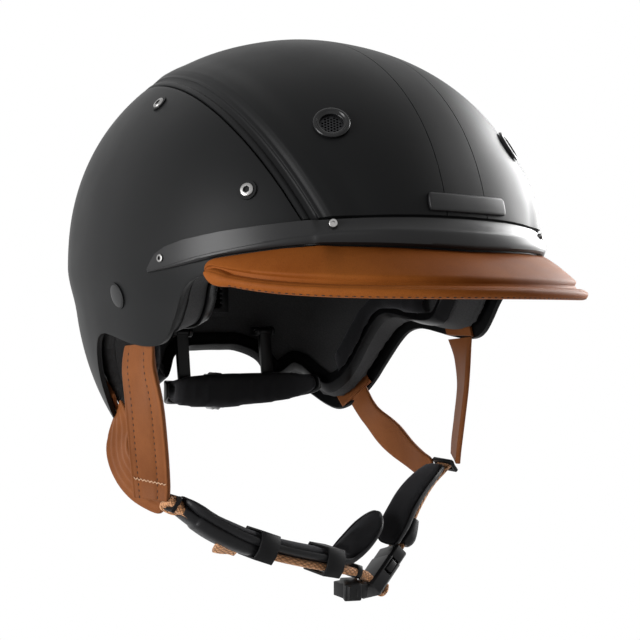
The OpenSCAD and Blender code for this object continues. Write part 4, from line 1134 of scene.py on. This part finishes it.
right_front = smooth(ribbon("front_strap_right_hide", FRONT_STOPS, FRONT_SECTION, 110, squared_end), 50)
finished(right_front, strap_hide, "strap_leather", "right_harness", "front_strap_right")
front_strap = ribbon("front_strap", FRONT_LEFT_STOPS, FRONT_SECTION, 110, squared_end)
left_front = smooth(other_side(front_strap, "front_strap_left_hide"), 50)
bpy.data.objects.remove(front_strap)
finished(left_front, strap_hide, "strap_leather", "left_harness", "front_strap_left")
right_rear = smooth(ribbon("rear_strap_right_hide", REAR_STOPS, REAR_SECTION, 100, narrow_tip), 50)
left_rear = other_side(right_rear, "rear_strap_left_hide")
finished(right_rear, strap_hide, "strap_leather", "right_harness", "rear_strap_right")
finished(left_rear, strap_hide, "strap_leather", "left_harness", "rear_strap_left")
fitting("strap_roots", "strap_root_ends", 0.4, strap_hide, "strap_leather", "helmet")

for side, stops in (("right", FRONT_STOPS), ("left", FRONT_LEFT_STOPS)):
    ends, bar = sewn_row(stops, SEAM_REAR) + sewn_row(stops, SEAM_FRONT), bar_tack(stops)
    if side == "left":
        ends, bar = mirrored(ends), mirrored(bar)
    finished(stitches("strap_seams_" + side, ends, 0.75), dark_thread, "strap_leather", side + "_harness")
    finished(stitches("strap_bar_tack_" + side, bar, 0.65), pale_thread, "strap_leather", side + "_harness")

# Chin webbing
# A flat braided webbing runs from the right junction under the chin to the buckle, and a shorter one
# from the buckle's clip to the left junction. Its spare end is folded back below the padding.
CHIN_PATH = [(-85, -18, -123.5), (-79, -20, -128.5), (-70, -23, -135.5), (-58, -26, -142.5), (-46, -28, -148),
             (-34, -29, -152.5), (-20, -30, -157), (-8, -30.5, -160.5), (2, -31, -163.5), (12, -31.5, -166),
             (20, -32, -168.5), (24.5, -32.5, -172.2)]
LEFT_PATH = [(49.8, -28.6, -161), (54, -28.3, -155.5), (60.5, -27, -146.5), (68, -25.5, -137),
             (79, -23, -127.5), (91, -22, -119.5), (96.7, -21.8, -115.7)]
WEB_WIDE, WEB_THICK = 11.0, 2.6


def braided(name, pale, dark, strand):
    """A flat braid: strands cross over and under each other at a slant. Its colour is painted shade and
    highlight from the strands' relief: dark in the gaps between strands, pale along each strand's crown. Its
    UV map is in millimetres.
    """
    m, t = new_material(name)
    spot = node(t, "UVMap", uv_map="UVMap")["UV"]
    split = node(t, "SeparateXYZ", {0: spot})
    x, y = maths(t, "MULTIPLY", split["X"], 0.62), split["Y"]
    rows = [maths(t, "DIVIDE", maths(t, way, x, y), strand) for way in ("ADD", "SUBTRACT")]
    odd = maths(t, "PINGPONG", maths(t, "ADD", *[maths(t, "FLOOR", row) for row in rows]), 1.0)
    tops = []
    for row in rows:
        across = maths(t, "SUBTRACT", maths(t, "MULTIPLY", maths(t, "FRACT", row), 2.0), 1.0)
        tops.append(maths(t, "SQRT", maths(t, "SUBTRACT", 1.0, maths(t, "MULTIPLY", across, across))))
    over = maths(t, "ADD", maths(t, "MULTIPLY", tops[0], odd),
                 maths(t, "MULTIPLY", tops[1], maths(t, "SUBTRACT", 1.0, odd)))
    least = maths(t, "MULTIPLY", maths(t, "MINIMUM", *tops), 0.45)
    both = maths(t, "MULTIPLY", over, maths(t, "ADD", 0.55, least))
    fibre = maths(t, "MULTIPLY", noise(t, spot, 2.2, 3), 0.5)
    shade = maths(t, "MULTIPLY", both, maths(t, "ADD", 0.72, fibre))
    # Base colour: painted shade in the gaps between strands and a painted highlight along their crowns, taken
    # from the strands' relief
    return dressed(m, {"Base Color": blend(t, shade, dark, pale), "Roughness": 0.62,
                       "Specular IOR Level": 0.35, "Sheen Weight": 0.15, "Normal": bumped(t, both, 0.5, 0.9)})


def measured(piece, stops, section):
    """Rescales a strap's UV map to millimetres, along it and round its cross-section."""
    length = sum((Vector(b[:3]) - Vector(a[:3])).length for a, b in zip(stops, stops[1:]))
    w, h = stops[0][-2:]
    ring = [0.0]
    for (c0, k0), (c1, k1) in zip(section, section[1:] + section[:1]):
        ring.append(ring[-1] + math.hypot((c1 - c0) * w, (k1 - k0) * h))
    for spot in piece.data.uv_layers[0].data:
        i = round(spot.uv.y * len(section))
        spot.uv = spot.uv.x * length, ring[i]
    piece.data.uv_layers[0].name = "UVMap"
    return piece


def on_path(path, wide, thick):
    return [(*p, wide, thick) for p in path]


WEB_SECTION = [(-0.5, 0.0), (-0.49, 0.28), (-0.455, 0.44), (-0.4, 0.5), (0.4, 0.5), (0.455, 0.44),
               (0.49, 0.28), (0.5, 0.0), (0.49, -0.28), (0.455, -0.44), (0.4, -0.5), (-0.4, -0.5),
               (-0.455, -0.44), (-0.49, -0.28)]
# The dark colour is painted shade for the gaps between strands; the pale one is the strands' tan, painted
# brightest at their crowns
tan_braid_painted_shade = braided("tan_braid_painted_shade", (0.66, 0.32, 0.14), (0.10, 0.036, 0.014), 2.1)


def webbing(name, stops, cols, body, *stands_for, section=WEB_SECTION, shape=None):
    piece = measured(ribbon(name, stops, section, cols, shape), stops, section)
    return finished(smooth(piece, 60), tan_braid_painted_shade, "webbing", body, *stands_for)


chin_stops = on_path([(-89.6, -17, -119.3)] + [(x, y - 1.2, z - 0.5) for x, y, z in CHIN_PATH], 13, 4)
webbing("chin_braid", chin_stops, 260, "right_harness", "chin_webbing")
webbing("left_braid", on_path(LEFT_PATH, WEB_WIDE, WEB_THICK), 120, "left_harness", "left_webbing")
# The bunched webbing at the right junction
FACE_DOWN = (-0.55, -0.5, -0.67)
GATHER = [(-91.5, -17.5, -119.4, *FACE_DOWN, 11, 4.2), (-88.6, -18.1, -121.2, *FACE_DOWN, 11, 5),
          (-85.6, -18.8, -123.2, *FACE_DOWN, 10, 4.8), (-82.5, -19.6, -125.4, *FACE_DOWN, 8, 4)]
GATHER_SECTION = [(-0.5 + i / 30, 0.40 + 0.15 * abs(math.sin(math.pi * 4 * i / 30))) for i in range(31)] + [
    (0.5, -0.3), (0.3, -0.45), (-0.3, -0.45), (-0.5, -0.3)]
webbing("webbing_gather", GATHER, 30, "right_harness", section=GATHER_SECTION, shape=round_ends(0.3, 0.45))
FACE_OUTWARD = (-0.2, -0.75, -0.62)
TAIL = [(-54.5, -27.6, -147.2, *FACE_OUTWARD, 9, 2.4), (-58.5, -27.6, -145.4, *FACE_OUTWARD, 9.4, 2.6),
        (-63, -27.4, -144.6, *FACE_OUTWARD, 9.4, 2.6), (-67.2, -26.6, -143.6, *FACE_OUTWARD, 9, 2.4)]
webbing("webbing_tail", TAIL, 24, "right_harness")
LOOP = [(25.8, -33, -175.6, 9.4, 2.2), (28.6, -33.6, -180.2, 9.4, 2.3), (32.4, -34, -182.2, 9.4, 2.3),
        (35.4, -34, -180.6, 9.4, 2.3), (36.4, -33.6, -177.6, 9.4, 2.2)]
webbing("webbing_loop", LOOP, 30, "right_harness")

# Chin padding
# A smooth black leather sleeve over the webbing below each junction, and a long soft pad that lies
# against the jaw: brushed cloth on top, sewn to a smooth leather underside with a rolled edge.
black_hide = leather("black_hide", (0.011, 0.011, 0.012), (0.007, 0.007, 0.008), 0.6, 0.012, 0.36, 30, 1.0)
COVER_THICK, SLEEVE_THICK = 5.2, 6.4
COVER_SECTION = [(-0.5, 0.05), (-0.48, 0.3), (-0.42, 0.46), (-0.3, 0.52), (0, 0.55), (0.3, 0.52),
                 (0.42, 0.46), (0.48, 0.3), (0.5, 0.05), (0.48, -0.25), (0.4, -0.46), (0.2, -0.58),
                 (0, -0.62), (-0.2, -0.58), (-0.4, -0.46), (-0.48, -0.25)]


def sleeve(name, stops, cols, shape, body, stands_for):
    """A soft leather sleeve round the webbing."""
    piece = add(ribbon(name, stops, COVER_SECTION, cols, shape), "SUBSURF", levels=1, render_levels=1)
    finished(smooth(piece, 60), black_hide, "padding", body, stands_for)


def cuffed(u):
    """The right sleeve's shape: a narrow turned-in cuff, then a full belly, and a closed far end."""
    cuff = 1.0 if u > 0.2 else 0.9
    belly = 1 + 0.12 * math.sin(math.pi * min(max((u - 0.2) / 0.8, 0), 1))
    return cuff * belly, (0.86 if u <= 0.2 else 1.0) * (1 + 0.2 * math.sin(math.pi * u))


cover_stops = ([(-83, -18.8, -125.2, 18, SLEEVE_THICK)]
               + [(*CHIN_PATH[i], 19 if i < 3 else 17, SLEEVE_THICK) for i in (2, 3, 4)])
sleeve("chin_sleeve", cover_stops, 60, cuffed, "right_harness", "chin_cover")

PAD_WIDE, PAD_THICK = 20, 5.5
PAD_UP = COVER_THICK / 2 + 0.3 + PAD_THICK / 2
x, y, z = CHIN_PATH[0]
pad_stops = ([(x - 1, y, z + 1, 12, 3.3)] + on_path(CHIN_PATH[1:9], PAD_WIDE, PAD_THICK)
             + [(12, -30, -164, 21, 5.5), (23, -29, -158, 25, 4.4), (34, -28.5, -149, 22, 3.9),
                (41, -28, -141.5, 10, 2.2)])
UNDERSIDE = [(-0.5, 0.0), (-0.52, 0.12), (-0.535, 0.02), (-0.53, -0.2), (-0.5, -0.42), (-0.42, -0.6),
             (-0.25, -0.74), (0, -0.78), (0.25, -0.74), (0.42, -0.6), (0.5, -0.42), (0.53, -0.2),
             (0.535, 0.02), (0.52, 0.12), (0.5, 0.0), (0.3, -0.1), (0, -0.12), (-0.3, -0.1)]


def jaw_padding(cushion, underside, stops, cols, ends, up, body, stands_for):
    """A cloth cushion and the leather underside that it is sewn to."""
    pad = puffed(ribbon(cushion, stops, CUSHION, cols, round_ends(ends), up), 1.7, 0.8, 0.5)
    finished(pad, pad_cloth, "padding", body, stands_for)
    back = ribbon(underside, stops, UNDERSIDE, cols, round_ends(ends, 0.25), up)
    finished(smooth(back, 60), black_hide, "padding", body)


jaw_padding("jaw_cushion", "jaw_pad_underside", pad_stops, 200, 0.05, PAD_UP, "right_harness", "chin_pad")

left_cover_stops = [(51.9, -28.45, -158.25, 15, COVER_THICK), (55, -28.3, -154.5, 18, COVER_THICK + 1),
                    (61.5, -27, -145.5, 15, COVER_THICK)]
sleeve("left_sleeve", left_cover_stops, 40,
       lambda u: (1 + 0.1 * math.sin(math.pi * u), 1 + 0.35 * math.sin(math.pi * u)),
       "left_harness", "left_cover")
LEFT_PAD = [(42.5, -29.7, -157, 15, 3.8), (48, -29.3, -147, 21, 5.5), (55.5, -28.5, -137, 20, 6.05),
            (65.5, -26, -128.8, 19.5, 5.5), (76.5, -24, -122, 17.5, 5.5), (87, -22.5, -116.5, 13, 3.8)]
jaw_padding("left_cushion", "left_pad_underside", LEFT_PAD, 110, 0.07, 0.0, "left_harness", "left_pad")

# Keepers, rings and buckle
# Moulded black fittings: a ring at each junction, two loops that hold pad and webbing together, a
# slider, an adjuster block, and a side-release buckle whose clip has two sprung buttons.
fitting("junction_ring_right", "junction_ring_r", 0.5, fitting_black, "fittings", "right_harness")
fitting("junction_ring_left", "junction_ring_l", 0.5, fitting_black, "fittings", "left_harness")
keeper_black = moulded("keeper_black", (0.007, 0.007, 0.0075), 0.5, 0.35, 0.02, 0.1)
fitting("strap_keepers", "keeper_loops", 0.5, keeper_black, "fittings", "right_harness", 50)
fitting("slider_ring", "webbing_slider", 0.6, fitting_black, "fittings", "right_harness", 50)
buckle_black = moulded("buckle_black", (0.008, 0.008, 0.0085), 0.4, 0.5, 0.02, 0.15)
fitting("buckle_housing", "buckle_body", 0.7, buckle_black, "buckle", "right_harness")
fitting("adjuster_bar", "adjuster_block", 0.9, buckle_black, "buckle", "right_harness")
# A core fills the adjuster block round the webbing that turns in it
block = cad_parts["adjuster_bar"]
corners = [block.matrix_world @ Vector(c) for c in block.bound_box]
bpy.ops.object.select_all(action="DESELECT")
bpy.ops.mesh.primitive_cube_add(size=0.82, location=sum(corners, Vector()) / 8)
core = bpy.context.object
core.name = core.data.name = "adjuster_core"
core.scale = [max(c[i] for c in corners) - min(c[i] for c in corners) for i in range(3)]
bpy.ops.object.transform_apply(location=True, rotation=True, scale=True)
add(core, "BEVEL", width=0.4 * MM, segments=2)
finished(smooth(core, 35), buckle_black, "buckle", "right_harness")
fitting("buckle_clip", "buckle_tongue", 0.6, buckle_black, "buckle", "left_harness")
fitting("release_button_front", "button_front_cap", 0.5, buckle_black, "buckle", "button_front")
fitting("release_button_back", "button_back_cap", 0.5, buckle_black, "buckle", "button_back")
